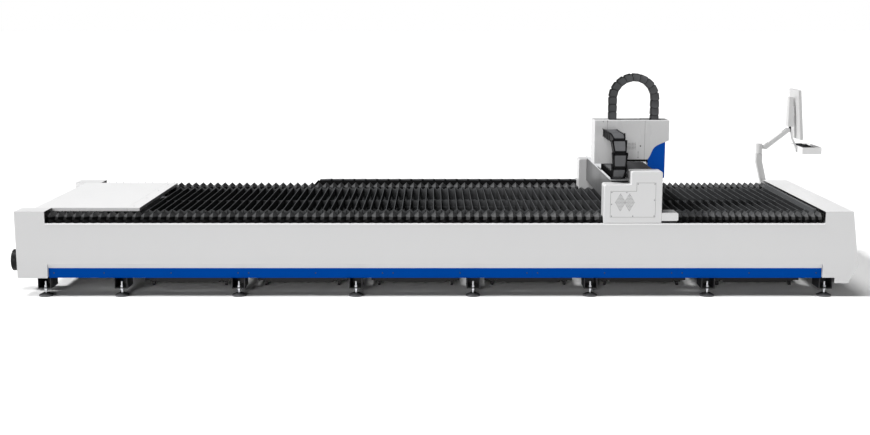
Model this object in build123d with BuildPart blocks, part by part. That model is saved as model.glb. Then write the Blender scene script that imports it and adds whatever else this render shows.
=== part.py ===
from build123d import *
import math
import os

os.makedirs("parts", exist_ok=True)

# Reach of the machine from the middle of its footprint, in millimetres
REACH_X = 4497.0
REACH_Y = 1353.5

# Clearances
RUNNING_GAP = 0.3
FACE_GAP = 2.0
PIN_CLEARANCE = 0.08

# Bed
SHEET = 3.0
BED_LEFT = -4341.0
BED_RIGHT = 4152.0
BED_FRONT = -1336.5
BED_WIDTH = 2370.0
BED_TOP = 880.0
BED_UNDERSIDE = 192.0
BED_BACK = BED_FRONT + BED_WIDTH
BED_MIDDLE = (BED_FRONT + BED_BACK) / 2
SIDE_WIDTH = 245.0
SLOT_LEFT = -4035.0
SLOT_RIGHT = 3869.0
SLOT_FLOOR = 760.0

# Right end, which leans out and is chamfered back underneath
LEAN_X = 4227.0
LEAN_Z = 320.0
CHIN_X = 4132.0
CHIN_Z = 141.0
CHIN_LEFT = 3992.0
RIGHT_UNDERSIDE = 198.0

# Recessed kick strip along each side
RECESS_LEFT = -4033.0
RECESS_RIGHT = 3867.0
RECESS_TOP = 344.0
RECESS_DEPTH = 40.0
RECESS_END_BOTTOM = 201.0
STRIP_TOP = 290.0
STRIP_BOTTOM = 188.0
LIP_WIDTH = 30.0
STRIP_PANEL = 1477.5
STRIP_PANELS = 5
STRIP_JOINT = 1.0
STRIP_SCREW_INSET = 54.0
STRIP_SCREW_PITCH = 684.75
STRIP_SCREW_RADIUS = 7.0
STRIP_SCREW_HEIGHT = 3.5

# Welded frame
BEAM_TUBE_BOTTOM = 300.0
BEAM_TUBE_TOP = 690.0
BEAM_TUBE_INSET = 44.0
BEAM_TUBE_WIDTH = 186.0
BEAM_TUBE_WALL = 10.0
BEAM_TUBE_END_GAP = 60.0
CROSS_TUBE = 100.0
CROSS_WALL = 6.0
CROSS_INSET = 60.0

# Feet: the first bay is short, the others are equal
FOOT_ROW_FRONT = -1280.5
FIRST_FOOT_X = -4073.0
FIRST_BAY = 780.0
BAY = 1200.0
BAYS = 6
PAD_RADIUS = 73.0
PAD_EDGE = 12.0
PAD_HUB_RADIUS = 30.0
PAD_HUB_TOP = 34.0
STUD_RADIUS = 12.0
STUD_TOP = 150.0
NUT_ACROSS = 36.0
NUT_HEIGHT = 18.0
BRACKET_BOTTOM = 82.0
BRACKET_WIDTH = 135.0
BRACKET_LENGTH = 230.0
BRACKET_INSET = 10.0
BRACKET_WALL = 8.0

# Slag carts
CART_LENGTH = 930.0
CART_FRONT = 480.0
CART_DEPTH = 1410.0
CART_BOTTOM = 66.0
CART_TOP = 178.0
CART_WALL = 3.0
PAN_BOTTOM = 46.0
PAN_LENGTH = 654.0
PAN_SLOPE = 19.0
CASTOR_SPREAD = 771.0
CASTOR_INSET = 60.0
CASTOR_RADIUS = 25.0
CASTOR_WIDTH = 24.0
FORK_LENGTH = 62.0
FORK_WIDTH = 60.0
FORK_LAP = 4.0

# Left end
END_PANEL_X = -4211.0
SPIGOT_Y = -956.5
SPIGOT_Z = 307.0
SPIGOT_RADIUS = 112.0
SPIGOT_WALL = 6.0
SPIGOT_COLLAR = 60.0
SPIGOT_STEP = 2.0
SPIGOT_GROOVE = 3.0
SPIGOT_GROOVES = 8
SPIGOT_FLANGE_RADIUS = 128.0

# Sheet cover at the left end
COVER_SEAM_X = -3257.0
COVER_RIGHT = -3128.0
COVER_SEAM_GAP = 2.0
COVER_SKIRT = 34.0

# Slat table
TABLE_LEFT = -3108.0
MODULES = 12
MODULE_LENGTH = 577.0
SLATS_PER_MODULE = 7
SLAT_LENGTH = 1655.0
SLAT_THICKNESS = 5.0
SLAT_TOP = 840.0
SLAT_BOTTOM = 745.0
SLAT_PITCH = MODULE_LENGTH / SLATS_PER_MODULE
COMB_THICKNESS = 6.0
COMB_INSET = 14.0
COMB_TOP = 846.0
COMB_TOOTH = 26.0
COMB_BOTTOM = 700.0
COMB_GAP = 0.4
MIDDLE_COMB_TOP = 811.0
MIDDLE_COMB_THICKNESS = 12.0
MIDDLE_BAR_WIDTH = 60.0
MIDDLE_BAR_TOP = 743.0
END_BAR_WIDTH = 30.0
END_BAR_GAP = 4.0
END_BAR_BOTTOM = 820.0
END_BAR_TOP = 864.0
LEDGE_WIDTH = 60.0
LEDGE_THICKNESS = 6.0

# Slag chutes
CHUTE_TOP_OFFSET = 262.0
CHUTE_FOOT_OFFSET = 500.0
CHUTE_TOP = 680.0
CHUTE_FOOT = 205.0
CHUTE_SHEET = 4.0
CHUTE_END_GAP = 70.0

# Rails and racks on the side beams
RAIL_OFFSET = 70.0
RAIL_WIDTH = 34.0
RAIL_HEIGHT = 30.0
RACK_OFFSET = 205.0
RACK_WIDTH = 30.0
TRACK_END_GAP = 80.0

# Accordion bellows over the rails
BELLOWS_SIDE_GAP = 2.0
BELLOWS_BOTTOM = 762.0
BELLOWS_TOP = 860.0
BELLOWS_DEPTH = 38.0
BELLOWS_CHAMFER = 58.0
BELLOWS_WALL = 3.0
LEFT_FOLD_PITCH = 86.4
RIGHT_FOLD_PITCH = 68.2

# Gantry
GANTRY_LEFT = 1622.0
GANTRY_RIGHT = 2209.0
GANTRY_STEP_X = 1891.0
GANTRY_BOTTOM = 763.0
GANTRY_SHELF = 1155.0
GANTRY_TOP = 1290.0
HOUSING_DEPTH = 190.0
HOUSING_WALL = 4.0
HOUSING_INNER_WALL = 3.0
HOUSING_ROUND = 22.0
HOUSING_EDGE = 4.0
REAR_HOUSING_FRONT = 815.5
REAR_HOUSING_DEPTH = 240.0
SERVICE_LEFT = 1689.0
SERVICE_RIGHT = 2141.0
SERVICE_STEP_X = 1951.0
SERVICE_BOTTOM = 825.0
SERVICE_STEP_Z = 1087.0
SERVICE_TOP = 1172.0
SERVICE_PLATE = 2.0
SERVICE_LAP = 16.0
SERVICE_SCREW_INSET = 10.0
SERVICE_SCREW_RADIUS = 5.0
VENT_CENTRES = (1788.0, 1879.0)
VENT_Z = 975.0
VENT_ROWS = 6
VENT_STEP_X = 16.0
VENT_STEP_Z = 14.0
VENT_HOLE_RADIUS = 4.2
MOTOR_BOX_RIGHT = 2378.0
MOTOR_BOX_BOTTOM = 785.0
MOTOR_BOX_TOP = 867.0
MOTOR_BOX_DEPTH = 200.0
MOTOR_BOX_ROUND = 16.0

# Gantry beam, an L section that carries the short chain on its low side
BEAM_LEFT = 1712.0
BEAM_RIGHT = 2118.0
BEAM_STEP_X = 1905.0
BEAM_BOTTOM = 905.0
BEAM_SHELF = 1176.0
BEAM_TOP = 1232.0
BEAM_WALL = 10.0
SADDLE_RIGHT = 2150.0
SADDLE_OFFSET = 40.0
SADDLE_DEPTH = 146.0
PLATE_BOTTOM = 750.0
PLATE_TOP = 775.0
PLATE_LEFT = 1660.0
PLATE_RIGHT = 2190.0
PLATE_OFFSET = 30.0
PLATE_DEPTH = 156.0
BLOCK_LENGTH = 110.0
BLOCK_WIDTH = 66.0
BLOCK_BOTTOM = 700.0
DRIVE_X = 1760.0
DRIVE_OFFSET = 150.0
MOTOR_SIDE = 72.0
MOTOR_HEIGHT = 260.0
SHAFT_RADIUS = 9.0
PINION_RADIUS = 39.5
PINION_TOOTH = 4.0
PINION_TEETH = 20
PINION_HUB_RADIUS = 20.0
PINION_BOTTOM = 700.0
PINION_TOP = 724.0
PINION_HUB_TOP = 740.0
BEAM_RAIL_X = 2040.0
BEAM_RAIL_WIDTH = 30.0
BEAM_RAIL_HEIGHT = 25.0
SIDE_RAIL_Z = 1000.0
BEAM_RACK_X = 1930.0
BEAM_RACK_WIDTH = 24.0
TRAY_LEFT = 1707.0
TRAY_SHEET = 3.0
TRAY_WALL_TOP = 1200.0
TRAY_FLANGE = 12.0

# Flat bellows on the beam
FLAT_BELLOWS_LEFT = 1908.0
FLAT_BELLOWS_RIGHT = 2141.0
FLAT_BELLOWS_TOP = 1289.0
FLAT_BELLOWS_BOTTOM = 1272.0
FLAT_BELLOWS_PITCH = 24.0
FLAT_BELLOWS_DEPTH = 8.0
FLAT_BELLOWS_SKIRT = 1234.0
FLAT_BELLOWS_WALL = 4.0

# Head
HEAD_LEFT = 1623.0
HEAD_RIGHT = 2415.0
HEAD_FRONT = -521.5
HEAD_BACK = -230.5
HEAD_BOTTOM = 1269.0
HEAD_NOTCH_LEFT = 1895.0
HEAD_NOTCH_RIGHT = 2193.0
HEAD_NOTCH_TOP = 1314.0
HEAD_RIGHT_BOTTOM = 1516.0
HEAD_TOP = 1733.0
HEAD_WALL = 3.0
HEAD_SEAM_X = 2157.0
HEAD_SEAM_WIDTH = 1.6
HEAD_SEAM_DEPTH = 1.2
HEAD_EDGE = 4.0
HEAD_CURVE = ((2318.0, 1478.0), (2262.0, 1442.0), (2221.0, 1361.0))
HEAD_SLOT_X = (2131.0, 2339.0)
HEAD_SLOT_Y = (-466.5, -256.5)
LOWER_COVER_LEFT = 2196.0
LOWER_COVER_RIGHT = 2380.0
LOWER_COVER_BOTTOM = 1114.0
LOWER_COVER_TOP = 1530.0
LOWER_COVER_INSET = 5.0
LOWER_COVER_ROUND = 8.0
CARRIAGE_Y = -376.0
CARRIAGE_HALF = 120.0
CARRIAGE_PLATE_LEFT = 1925.0
CARRIAGE_PLATE_Z = (1272.0, 1292.0)
UPRIGHT_X = (2160.0, 2180.0)
UPRIGHT_Z = (930.0, 1640.0)
BEAM_BLOCK_LENGTH = 66.0
BEAM_BLOCK_WIDTH = 60.0
BEAM_BLOCK_SPREAD = 84.0
BEAM_PINION_X = 1976.5
BEAM_PINION_RADIUS = 34.0
Z_RAIL_SPREAD = 62.0
Z_RAIL_WIDTH = 15.0
Z_RAIL_HEIGHT = 15.0
Z_RAIL_Z = (1010.0, 1600.0)
Z_BLOCK_LENGTH = 60.0
Z_BLOCK_WIDTH = 34.0
Z_BLOCK_CENTRES = (1240.0, 1420.0)
Z_PLATE_X = (2208.0, 2224.0)
Z_PLATE_Z = (1180.0, 1490.0)
Z_PLATE_HALF = 82.0
SCREW_RADIUS = 8.0
SCREW_Z = (1030.0, 1560.0)
SCREW_X = 2194.0
NUT_SIDE = 24.0
NUT_Z = (1300.0, 1350.0)
SCREW_MOTOR_Z = (1570.0, 1700.0)
SCREW_MOTOR_SIDE = 42.0

# Cutting head
CUTTER_X = 2296.0
CUTTER_SIDE = 92.0
CUTTER_Z = (1090.0, 1470.0)
CUTTER_NECK_RADIUS = 34.0
CUTTER_NECK_BOTTOM = 985.0
NOZZLE_BODY_RADIUS = 26.0
NOZZLE_SHOULDER = 940.0
NOZZLE_TIP = 905.0
NOZZLE_TIP_RADIUS = 8.0
NOZZLE_BORE_RADIUS = 3.0
NOZZLE_BORE_DEPTH = 30.0
FIBRE_RADIUS = 20.0
FIBRE_TOP = 1590.0

# Short drag chain between gantry and head
SHORT_CHAIN_X = (1713.0, 1856.0)
SHORT_CHAIN_TOP = 1640.0
SHORT_CHAIN_OUTER_RADIUS = 227.0
SHORT_CHAIN_THICKNESS = 78.0
SHORT_CHAIN_PITCH = 130.0
SHORT_CHAIN_UPPER_RUN = 528.0
SHORT_CHAIN_LINKS = 14
SHORT_CHAIN_CHAMFER = 14.0

# Vertical drag chain loop over the head
LOOP_X = 2044.0
LOOP_Y = -411.5
LOOP_WIDTH = 90.0
LOOP_RADIUS = 225.0
LOOP_THICKNESS = 85.0
LOOP_TOP = 2225.0
LOOP_PITCH = 60.0
LOOP_LINKS = 21
LOOP_CHAMFER = 6.0
LOOP_LEG = 222.0

# Long drag chain along the back of the bed
LONG_CHAIN_Y = (1085.0, 1215.0)
LONG_CHAIN_TOP = 870.0
LONG_CHAIN_OUTER_RADIUS = 210.0
LONG_CHAIN_THICKNESS = 80.0
LONG_CHAIN_PITCH = 138.0
LONG_CHAIN_END_X = 1700.0
LONG_CHAIN_UPPER_RUN = 3100.0
LONG_CHAIN_LINKS = 38
LONG_CHAIN_CHAMFER = 16.0
CHAIN_GAP = 1.5
TROUGH_LEFT = -4341.0
TROUGH_RIGHT = 3300.0
TROUGH_WIDTH = 243.0
TROUGH_DEPTH = 110.0
TROUGH_SHEET = 3.0
ARM_PLATE = 10.0
ARM_PLATE_LENGTH = 75.0

# Console post behind the right end
POST_Y = 1093.5
POST_WIDTH = 70.0
POST_FOOT_X = 3882.0
POST_FOOT_Z = 837.0
POST_KNEE_X = 3816.0
POST_KNEE_Z = 1105.0
POST_TOP_Z = 1195.0
BRACKET_PLATE = 10.0
POST_BRACKET_WIDTH = 160.0
POST_BRACKET_BOTTOM = 600.0
SWIVEL_RADIUS = 38.0
SWIVEL_TOP = 1312.0
SWIVEL_PIN_RADIUS = 15.0
SWIVEL_PIN_LENGTH = 60.0
SWIVEL_GAP = 2.0

# Spring arm
ARM_FOOT_X = 3888.0
ARM_FOOT_Z = 1272.0
ARM_HEAD_X = 4148.0
ARM_HEAD_Z = 1478.0
ARM_WIDTH = 62.0
ARM_DEPTH = 50.0
TONGUE_WIDTH = 30.0
TONGUE_RADIUS = 20.0
ARM_PIN_RADIUS = 7.0
FORK_GAP = 1.0
FORK_POCKET = 64.0

# Console column, monitor and keyboard tray
COLUMN_PIN_X = 4176.0
COLUMN_PIN_RADIUS = 13.0
COLUMN_PIN_LENGTH = 44.0
COLUMN_X = (4140.0, 4205.0)
COLUMN_Z = (1522.0, 1767.0)
COLUMN_WIDTH = 100.0
COLUMN_PLATE = 14.0
COLUMN_HEAD_X = (4142.0, 4188.0)
COLUMN_HEAD_TOP = 1875.0
MONITOR_TILT = 5.0
MONITOR_X = 4243.0
MONITOR_Z = 1670.0
MONITOR_THICKNESS = 32.0
MONITOR_WIDTH = 390.0
MONITOR_HEIGHT = 590.0
MONITOR_ROUND = 8.0
SCREEN_BORDER = 14.0
SCREEN_THICKNESS = 2.0
HINGE_X = 4215.0
HINGE_RADIUS = 6.0
HINGE_LUG_RADIUS = 9.0
HINGE_LUG_WIDTH = 24.0
HINGE_FORK_WIDTH = 60.0
TRAY_RIGHT = REACH_X
TRAY_BACK = REACH_Y
TRAY_LENGTH_X = 225.0
TRAY_WIDTH_Y = 490.0
TRAY_BOTTOM = 1209.0
TRAY_TOP = 1290.0
TRAY_WALL = 4.0
TRAY_DEPTH = 24.0
TRAY_KNEE_X = 4208.0
TRAY_BRACKET_WIDTH = 24.0
KEYBOARD_SIZE = (140.0, 330.0, 26.0)
KEYBOARD_EDGE = 4.0
MOUSE_SIZE = (100.0, 58.0, 32.0)
MOUSE_ROUND = 22.0
MOUSE_CROWN = 12.0
DESK_GAP = 8.0


def block(x, y, z, mode=Mode.ADD):
    """Rectangular block between three pairs of limits."""
    with Locations(((x[0] + x[1]) / 2, (y[0] + y[1]) / 2, (z[0] + z[1]) / 2)):
        Box(x[1] - x[0], y[1] - y[0], z[1] - z[0], mode=mode)


def prism_y(points, y, mode=Mode.ADD):
    """Prism along Y from an outline of (x, z) points."""
    with BuildSketch(Plane.XZ.offset(-y[0])) as outline:
        with BuildLine():
            Polyline(*points, close=True)
        make_face()
    extrude(outline.sketch, amount=y[1] - y[0], dir=(0, 1, 0), mode=mode)


def prism_x(points, x, mode=Mode.ADD):
    """Prism along X from an outline of (y, z) points."""
    with BuildSketch(Plane.YZ.offset(x[0])) as outline:
        with BuildLine():
            Polyline(*points, close=True)
        make_face()
    extrude(outline.sketch, amount=x[1] - x[0], dir=(1, 0, 0), mode=mode)


def rounded_prism_y(points, y, radius, sharp, mode=Mode.ADD):
    """Prism along Y with rounded corners, except at the corners named sharp."""
    with BuildSketch(Plane.XZ.offset(-y[0])) as outline:
        with BuildLine():
            Polyline(*points, close=True)
        make_face()
        corners = outline.vertices()
        for x, z in sharp:
            corners = [corner for corner in corners if math.hypot(corner.X - x, corner.Y - z) > 1]
        fillet(corners, radius)
    extrude(outline.sketch, amount=y[1] - y[0], dir=(0, 1, 0), mode=mode)


def post(x, y, radius, z, mode=Mode.ADD):
    """Upright cylinder between two heights."""
    with Locations((x, y, z[0])):
        align = (Align.CENTER, Align.CENTER, Align.MIN)
        Cylinder(radius, z[1] - z[0], align=align, mode=mode)


def across(x, z, radius, y, mode=Mode.ADD):
    """Cylinder along Y between two limits."""
    with BuildSketch(Plane.XZ.offset(-y[0])) as outline:
        with Locations((x, z)):
            Circle(radius)
    extrude(outline.sketch, amount=y[1] - y[0], dir=(0, 1, 0), mode=mode)


def write_piece(piece, name):
    """Label a finished piece and write it."""
    piece.part.label = name
    export_step(piece.part, f"parts/{name}.step")


def mirrored(y):
    """The matching place on the other side of the bed."""
    return 2 * BED_MIDDLE - y


def side_place(side, offset):
    """Y of a place measured inwards from the front or the back face of the bed."""
    return BED_FRONT + offset if side == "front" else BED_BACK - offset


def side_span(side, near, far):
    """Y limits of a stretch measured inwards from one face of the bed."""
    ends = side_place(side, near), side_place(side, far)
    return min(ends), max(ends)


foot_places = [FIRST_FOOT_X] + [FIRST_FOOT_X + FIRST_BAY + BAY * i for i in range(BAYS + 1)]
foot_row_back = mirrored(FOOT_ROW_FRONT)
sides = ("front", "rear")

# Side beams: two long welded tubes
with BuildPart() as side_beams:
    for side in sides:
        y = side_span(side, BEAM_TUBE_INSET, BEAM_TUBE_INSET + BEAM_TUBE_WIDTH)
        x = (BED_LEFT + BEAM_TUBE_END_GAP, BED_RIGHT - BEAM_TUBE_END_GAP)
        block(x, y, (BEAM_TUBE_BOTTOM, BEAM_TUBE_TOP))
        hollow_y = (y[0] + BEAM_TUBE_WALL, y[1] - BEAM_TUBE_WALL)
        hollow_z = (BEAM_TUBE_BOTTOM + BEAM_TUBE_WALL, BEAM_TUBE_TOP - BEAM_TUBE_WALL)
        block(x, hollow_y, hollow_z, mode=Mode.SUBTRACT)
write_piece(side_beams, "side_beams")

# Cross tubes over the feet
cross_y = (BED_FRONT + CROSS_INSET, BED_BACK - CROSS_INSET)
cross_bottom = BEAM_TUBE_BOTTOM - CROSS_TUBE
with BuildPart() as cross_members:
    for x in foot_places:
        half = CROSS_TUBE / 2
        block((x - half, x + half), cross_y, (cross_bottom, BEAM_TUBE_BOTTOM))
        inner = half - CROSS_WALL
        hollow_z = (cross_bottom + CROSS_WALL, BEAM_TUBE_BOTTOM - CROSS_WALL)
        block((x - inner, x + inner), cross_y, hollow_z, mode=Mode.SUBTRACT)
write_piece(cross_members, "cross_members")

# Side panels: one folded sheet along each side, recessed low down over the kick strip
panel_outline = [
    (BED_LEFT, BED_UNDERSIDE),
    (BED_LEFT, BED_TOP),
    (SLOT_LEFT, BED_TOP),
    (SLOT_LEFT, SLOT_FLOOR),
    (SLOT_RIGHT, SLOT_FLOOR),
    (SLOT_RIGHT, BED_TOP),
    (BED_RIGHT, BED_TOP),
    (LEAN_X, LEAN_Z),
    (CHIN_X, CHIN_Z),
    (CHIN_LEFT, CHIN_Z),
    (CHIN_LEFT, RIGHT_UNDERSIDE),
    (RECESS_RIGHT, RIGHT_UNDERSIDE),
    (RECESS_RIGHT, RECESS_TOP),
    (RECESS_LEFT, RECESS_TOP),
    (RECESS_LEFT, BED_UNDERSIDE),
]
panels = {}
for side in sides:
    with BuildPart() as panel:
        prism_y(panel_outline, side_span(side, 0, SHEET))
        block((SLOT_LEFT, SLOT_RIGHT), side_span(side, 0, LIP_WIDTH), (SLOT_FLOOR - SHEET, SLOT_FLOOR))
        slope = [
            (side_place(side, 0), RECESS_TOP),
            (side_place(side, SHEET), RECESS_TOP),
            (side_place(side, RECESS_DEPTH), STRIP_TOP + SHEET),
            (side_place(side, RECESS_DEPTH), STRIP_TOP),
            (side_place(side, 0), RECESS_TOP - SHEET),
        ]
        prism_x(slope, (RECESS_LEFT, RECESS_RIGHT))
        for x in ((RECESS_LEFT - SHEET, RECESS_LEFT), (RECESS_RIGHT, RECESS_RIGHT + SHEET)):
            block(x, side_span(side, 0, RECESS_DEPTH), (RECESS_END_BOTTOM, RECESS_TOP))
    write_piece(panel, f"{side}_panel")

# Kick strips in lengths with fine joints, and the screws that hold them
strip_ends = [RECESS_RIGHT - STRIP_PANEL * i for i in range(STRIP_PANELS)] + [RECESS_LEFT]
strip_runs = list(zip(strip_ends[1:], strip_ends[:-1]))
screw_places = [RECESS_LEFT + STRIP_SCREW_INSET]
with BuildPart() as kick_strips:
    for left, right in strip_runs:
        for side in sides:
            y = side_span(side, RECESS_DEPTH, RECESS_DEPTH + SHEET)
            block((left + STRIP_JOINT / 2, right - STRIP_JOINT / 2), y, (STRIP_BOTTOM, STRIP_TOP))
        screw_x = right - STRIP_SCREW_INSET
        while screw_x > left:
            screw_places.append(screw_x)
            screw_x -= STRIP_SCREW_PITCH
write_piece(kick_strips, "kick_strips")

with BuildPart() as strip_screws:
    for side in sides:
        for x in screw_places:
            y = side_span(side, RECESS_DEPTH - STRIP_SCREW_HEIGHT, RECESS_DEPTH)
            across(x, (STRIP_BOTTOM + STRIP_TOP) / 2, STRIP_SCREW_RADIUS, y)
write_piece(strip_screws, "strip_screws")

# Left end: two box ends with a cross panel set back between them
with BuildPart() as left_end:
    for side in sides:
        y = side_span(side, SHEET, SIDE_WIDTH)
        block((BED_LEFT, SLOT_LEFT), y, (BED_UNDERSIDE, BED_TOP))
        hollow_y = side_span(side, SHEET, SIDE_WIDTH - SHEET)
        hollow_x = (BED_LEFT + SHEET, SLOT_LEFT)
        hollow_z = (BED_UNDERSIDE, BED_TOP - SHEET)
        block(hollow_x, hollow_y, hollow_z, mode=Mode.SUBTRACT)
        tube_half = CROSS_TUBE / 2 + FACE_GAP
        tube_x = (FIRST_FOOT_X - tube_half, FIRST_FOOT_X + tube_half)
        wall_y = side_span(side, SIDE_WIDTH - 2 * SHEET, SIDE_WIDTH + SHEET)
        block(tube_x, wall_y, (BED_UNDERSIDE, BEAM_TUBE_BOTTOM + FACE_GAP), mode=Mode.SUBTRACT)
    cross_x = (END_PANEL_X, END_PANEL_X + SHEET)
    block(cross_x, (BED_FRONT + SIDE_WIDTH, BED_BACK - SIDE_WIDTH), (BED_UNDERSIDE, BED_TOP))
    with BuildSketch(Plane.YZ.offset(END_PANEL_X)) as duct_hole:
        with Locations((SPIGOT_Y, SPIGOT_Z)):
            Circle(SPIGOT_RADIUS + FACE_GAP)
    extrude(duct_hole.sketch, amount=SHEET, dir=(1, 0, 0), mode=Mode.SUBTRACT)
write_piece(left_end, "left_end_housing")

# Exhaust spigot: a beaded collar with a flange against the inside of the end panel
with BuildPart() as spigot:
    with BuildSketch(Plane.XZ.offset(-SPIGOT_Y)):
        with BuildLine():
            outer = SPIGOT_Z + SPIGOT_RADIUS
            inner = outer - SPIGOT_WALL
            flange_x = END_PANEL_X + SHEET
            collar_end = -REACH_X + SPIGOT_COLLAR
            duct = outer - SPIGOT_STEP
            groove_step = (flange_x - collar_end) / (SPIGOT_GROOVES + 1)
            line = [(-REACH_X, inner), (-REACH_X, outer), (collar_end, outer), (collar_end, duct)]
            for i in range(SPIGOT_GROOVES):
                groove_x = collar_end + groove_step * (i + 0.5)
                line.append((groove_x - SPIGOT_GROOVE, duct))
                line.append((groove_x, duct - SPIGOT_GROOVE))
                line.append((groove_x + SPIGOT_GROOVE, duct))
            line.append((flange_x, duct))
            line.append((flange_x, SPIGOT_Z + SPIGOT_FLANGE_RADIUS))
            line.append((flange_x + SHEET, SPIGOT_Z + SPIGOT_FLANGE_RADIUS))
            line.append((flange_x + SHEET, inner))
            Polyline(*line, close=True)
        make_face()
    revolve(axis=Axis((0, SPIGOT_Y, SPIGOT_Z), (1, 0, 0)))
write_piece(spigot, "exhaust_spigot")

# Right end housing: top, leaning face and chin folded from one sheet
with BuildPart() as right_end:
    outer_fold = [
        (SLOT_RIGHT, BED_TOP),
        (BED_RIGHT, BED_TOP),
        (LEAN_X, LEAN_Z),
        (CHIN_X, CHIN_Z),
        (CHIN_LEFT, CHIN_Z),
    ]
    inner_fold = [
        (CHIN_LEFT, CHIN_Z + SHEET),
        (CHIN_X - SHEET, CHIN_Z + SHEET),
        (LEAN_X - SHEET, LEAN_Z),
        (BED_RIGHT - SHEET, BED_TOP - SHEET),
        (SLOT_RIGHT, BED_TOP - SHEET),
    ]
    prism_y(outer_fold + inner_fold, (BED_FRONT + SHEET, BED_BACK - SHEET))
write_piece(right_end, "right_end_housing")

# Left cover and its screwed end strip, two folded sheets
cover_y = (BED_FRONT + SIDE_WIDTH, BED_BACK - SIDE_WIDTH)
cover_runs = (
    (END_PANEL_X + SHEET, COVER_SEAM_X - COVER_SEAM_GAP / 2),
    (COVER_SEAM_X + COVER_SEAM_GAP / 2, COVER_RIGHT),
)
with BuildPart() as left_cover:
    for x in cover_runs:
        block(x, cover_y, (BED_TOP - COVER_SKIRT, BED_TOP))
        hollow_y = (cover_y[0] + SHEET, cover_y[1] - SHEET)
        block(x, hollow_y, (BED_TOP - COVER_SKIRT, BED_TOP - SHEET), mode=Mode.SUBTRACT)
    hem_x = (COVER_RIGHT - SHEET, COVER_RIGHT)
    block(hem_x, cover_y, (BED_TOP - COVER_SKIRT, BED_TOP))
write_piece(left_cover, "left_cover")

# Slats standing on edge across the bed
slat_places = [TABLE_LEFT + SLAT_PITCH * (i + 0.5) for i in range(MODULES * SLATS_PER_MODULE)]
table_right = TABLE_LEFT + MODULES * MODULE_LENGTH
slat_y = (BED_MIDDLE - SLAT_LENGTH / 2, BED_MIDDLE + SLAT_LENGTH / 2)
with BuildPart() as slats:
    with Locations(*[(x, BED_MIDDLE, SLAT_BOTTOM) for x in slat_places]):
        align = (Align.CENTER, Align.CENTER, Align.MIN)
        Box(SLAT_THICKNESS, SLAT_LENGTH, SLAT_TOP - SLAT_BOTTOM, align=align)
write_piece(slats, "slats")


def comb_outline(top, tooth):
    """Bar with an open slot for every slat, its edge falling by a tooth between the slats."""
    half = SLAT_THICKNESS / 2 + COMB_GAP
    slot_floor = SLAT_BOTTOM - COMB_GAP
    points = [(TABLE_LEFT, COMB_BOTTOM), (TABLE_LEFT, top - tooth)]
    for x in slat_places:
        points += [(x - half, top), (x - half, slot_floor), (x + half, slot_floor), (x + half, top)]
        if tooth:
            points.append((x + SLAT_PITCH / 2, top - tooth))
    if not tooth:
        points.append((table_right, top))
    points.append((table_right, COMB_BOTTOM))
    return points


# Slat holders: slotted bars at both ends and in the middle, ledges, and the end bar
with BuildPart() as slat_holders:
    for side in sides:
        edge = (BED_WIDTH - SLAT_LENGTH) / 2 + COMB_INSET
        prism_y(comb_outline(COMB_TOP, COMB_TOOTH), side_span(side, edge, edge + COMB_THICKNESS))
        ledge_z = (COMB_BOTTOM - LEDGE_THICKNESS, COMB_BOTTOM)
        block((TABLE_LEFT, table_right), side_span(side, SIDE_WIDTH, edge + LEDGE_WIDTH), ledge_z)
    half = MIDDLE_COMB_THICKNESS / 2
    prism_y(comb_outline(MIDDLE_COMB_TOP, 0), (BED_MIDDLE - half, BED_MIDDLE + half))
    half = MIDDLE_BAR_WIDTH / 2
    bar_y = (BED_MIDDLE - half, BED_MIDDLE + half)
    block((TABLE_LEFT, table_right), bar_y, (COMB_BOTTOM, MIDDLE_BAR_TOP))
    bar_x = (table_right + END_BAR_GAP, table_right + END_BAR_GAP + END_BAR_WIDTH)
    block(bar_x, cover_y, (END_BAR_BOTTOM, END_BAR_TOP))
write_piece(slat_holders, "slat_holders")

# Slag chutes: sloped plates over each cart, with upright partitions on the cross tubes
with BuildPart() as chutes:
    bays = list(zip(foot_places[1:-1], foot_places[2:]))
    for left, right in bays:
        for side in sides:
            slope = [
                (side_place(side, CHUTE_TOP_OFFSET), CHUTE_TOP),
                (side_place(side, CHUTE_TOP_OFFSET + CHUTE_SHEET), CHUTE_TOP),
                (side_place(side, CHUTE_FOOT_OFFSET + CHUTE_SHEET), CHUTE_FOOT),
                (side_place(side, CHUTE_FOOT_OFFSET), CHUTE_FOOT),
            ]
            prism_x(slope, (left + CHUTE_END_GAP, right - CHUTE_END_GAP))
    for x in foot_places[1:]:
        partition_x = (x - CHUTE_SHEET / 2, x + CHUTE_SHEET / 2)
        partition_y = (BED_FRONT + CHUTE_TOP_OFFSET, BED_BACK - CHUTE_TOP_OFFSET)
        block(partition_x, partition_y, (BEAM_TUBE_BOTTOM, COMB_BOTTOM - LEDGE_THICKNESS))
write_piece(chutes, "chutes")

# Guide rails and racks on top of the side beams
track_x = (BED_LEFT + TRACK_END_GAP, BED_RIGHT - TRACK_END_GAP)
track_z = (BEAM_TUBE_TOP, BEAM_TUBE_TOP + RAIL_HEIGHT)
with BuildPart() as tracks:
    for side in sides:
        for centre, width in ((RAIL_OFFSET, RAIL_WIDTH), (RACK_OFFSET, RACK_WIDTH)):
            block(track_x, side_span(side, centre - width / 2, centre + width / 2), track_z)
write_piece(tracks, "guide_rails")


def fold_line(x, pitch_wanted, crest, valley):
    """Zigzag along X as (x, height) points that starts and ends in a valley."""
    folds = max(1, round((x[1] - x[0]) / pitch_wanted))
    pitch = (x[1] - x[0]) / folds
    points = [(x[0], valley)]
    for i in range(folds):
        points.append((x[0] + pitch * (i + 0.5), crest))
        points.append((x[0] + pitch * (i + 1), valley))
    return points


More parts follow.
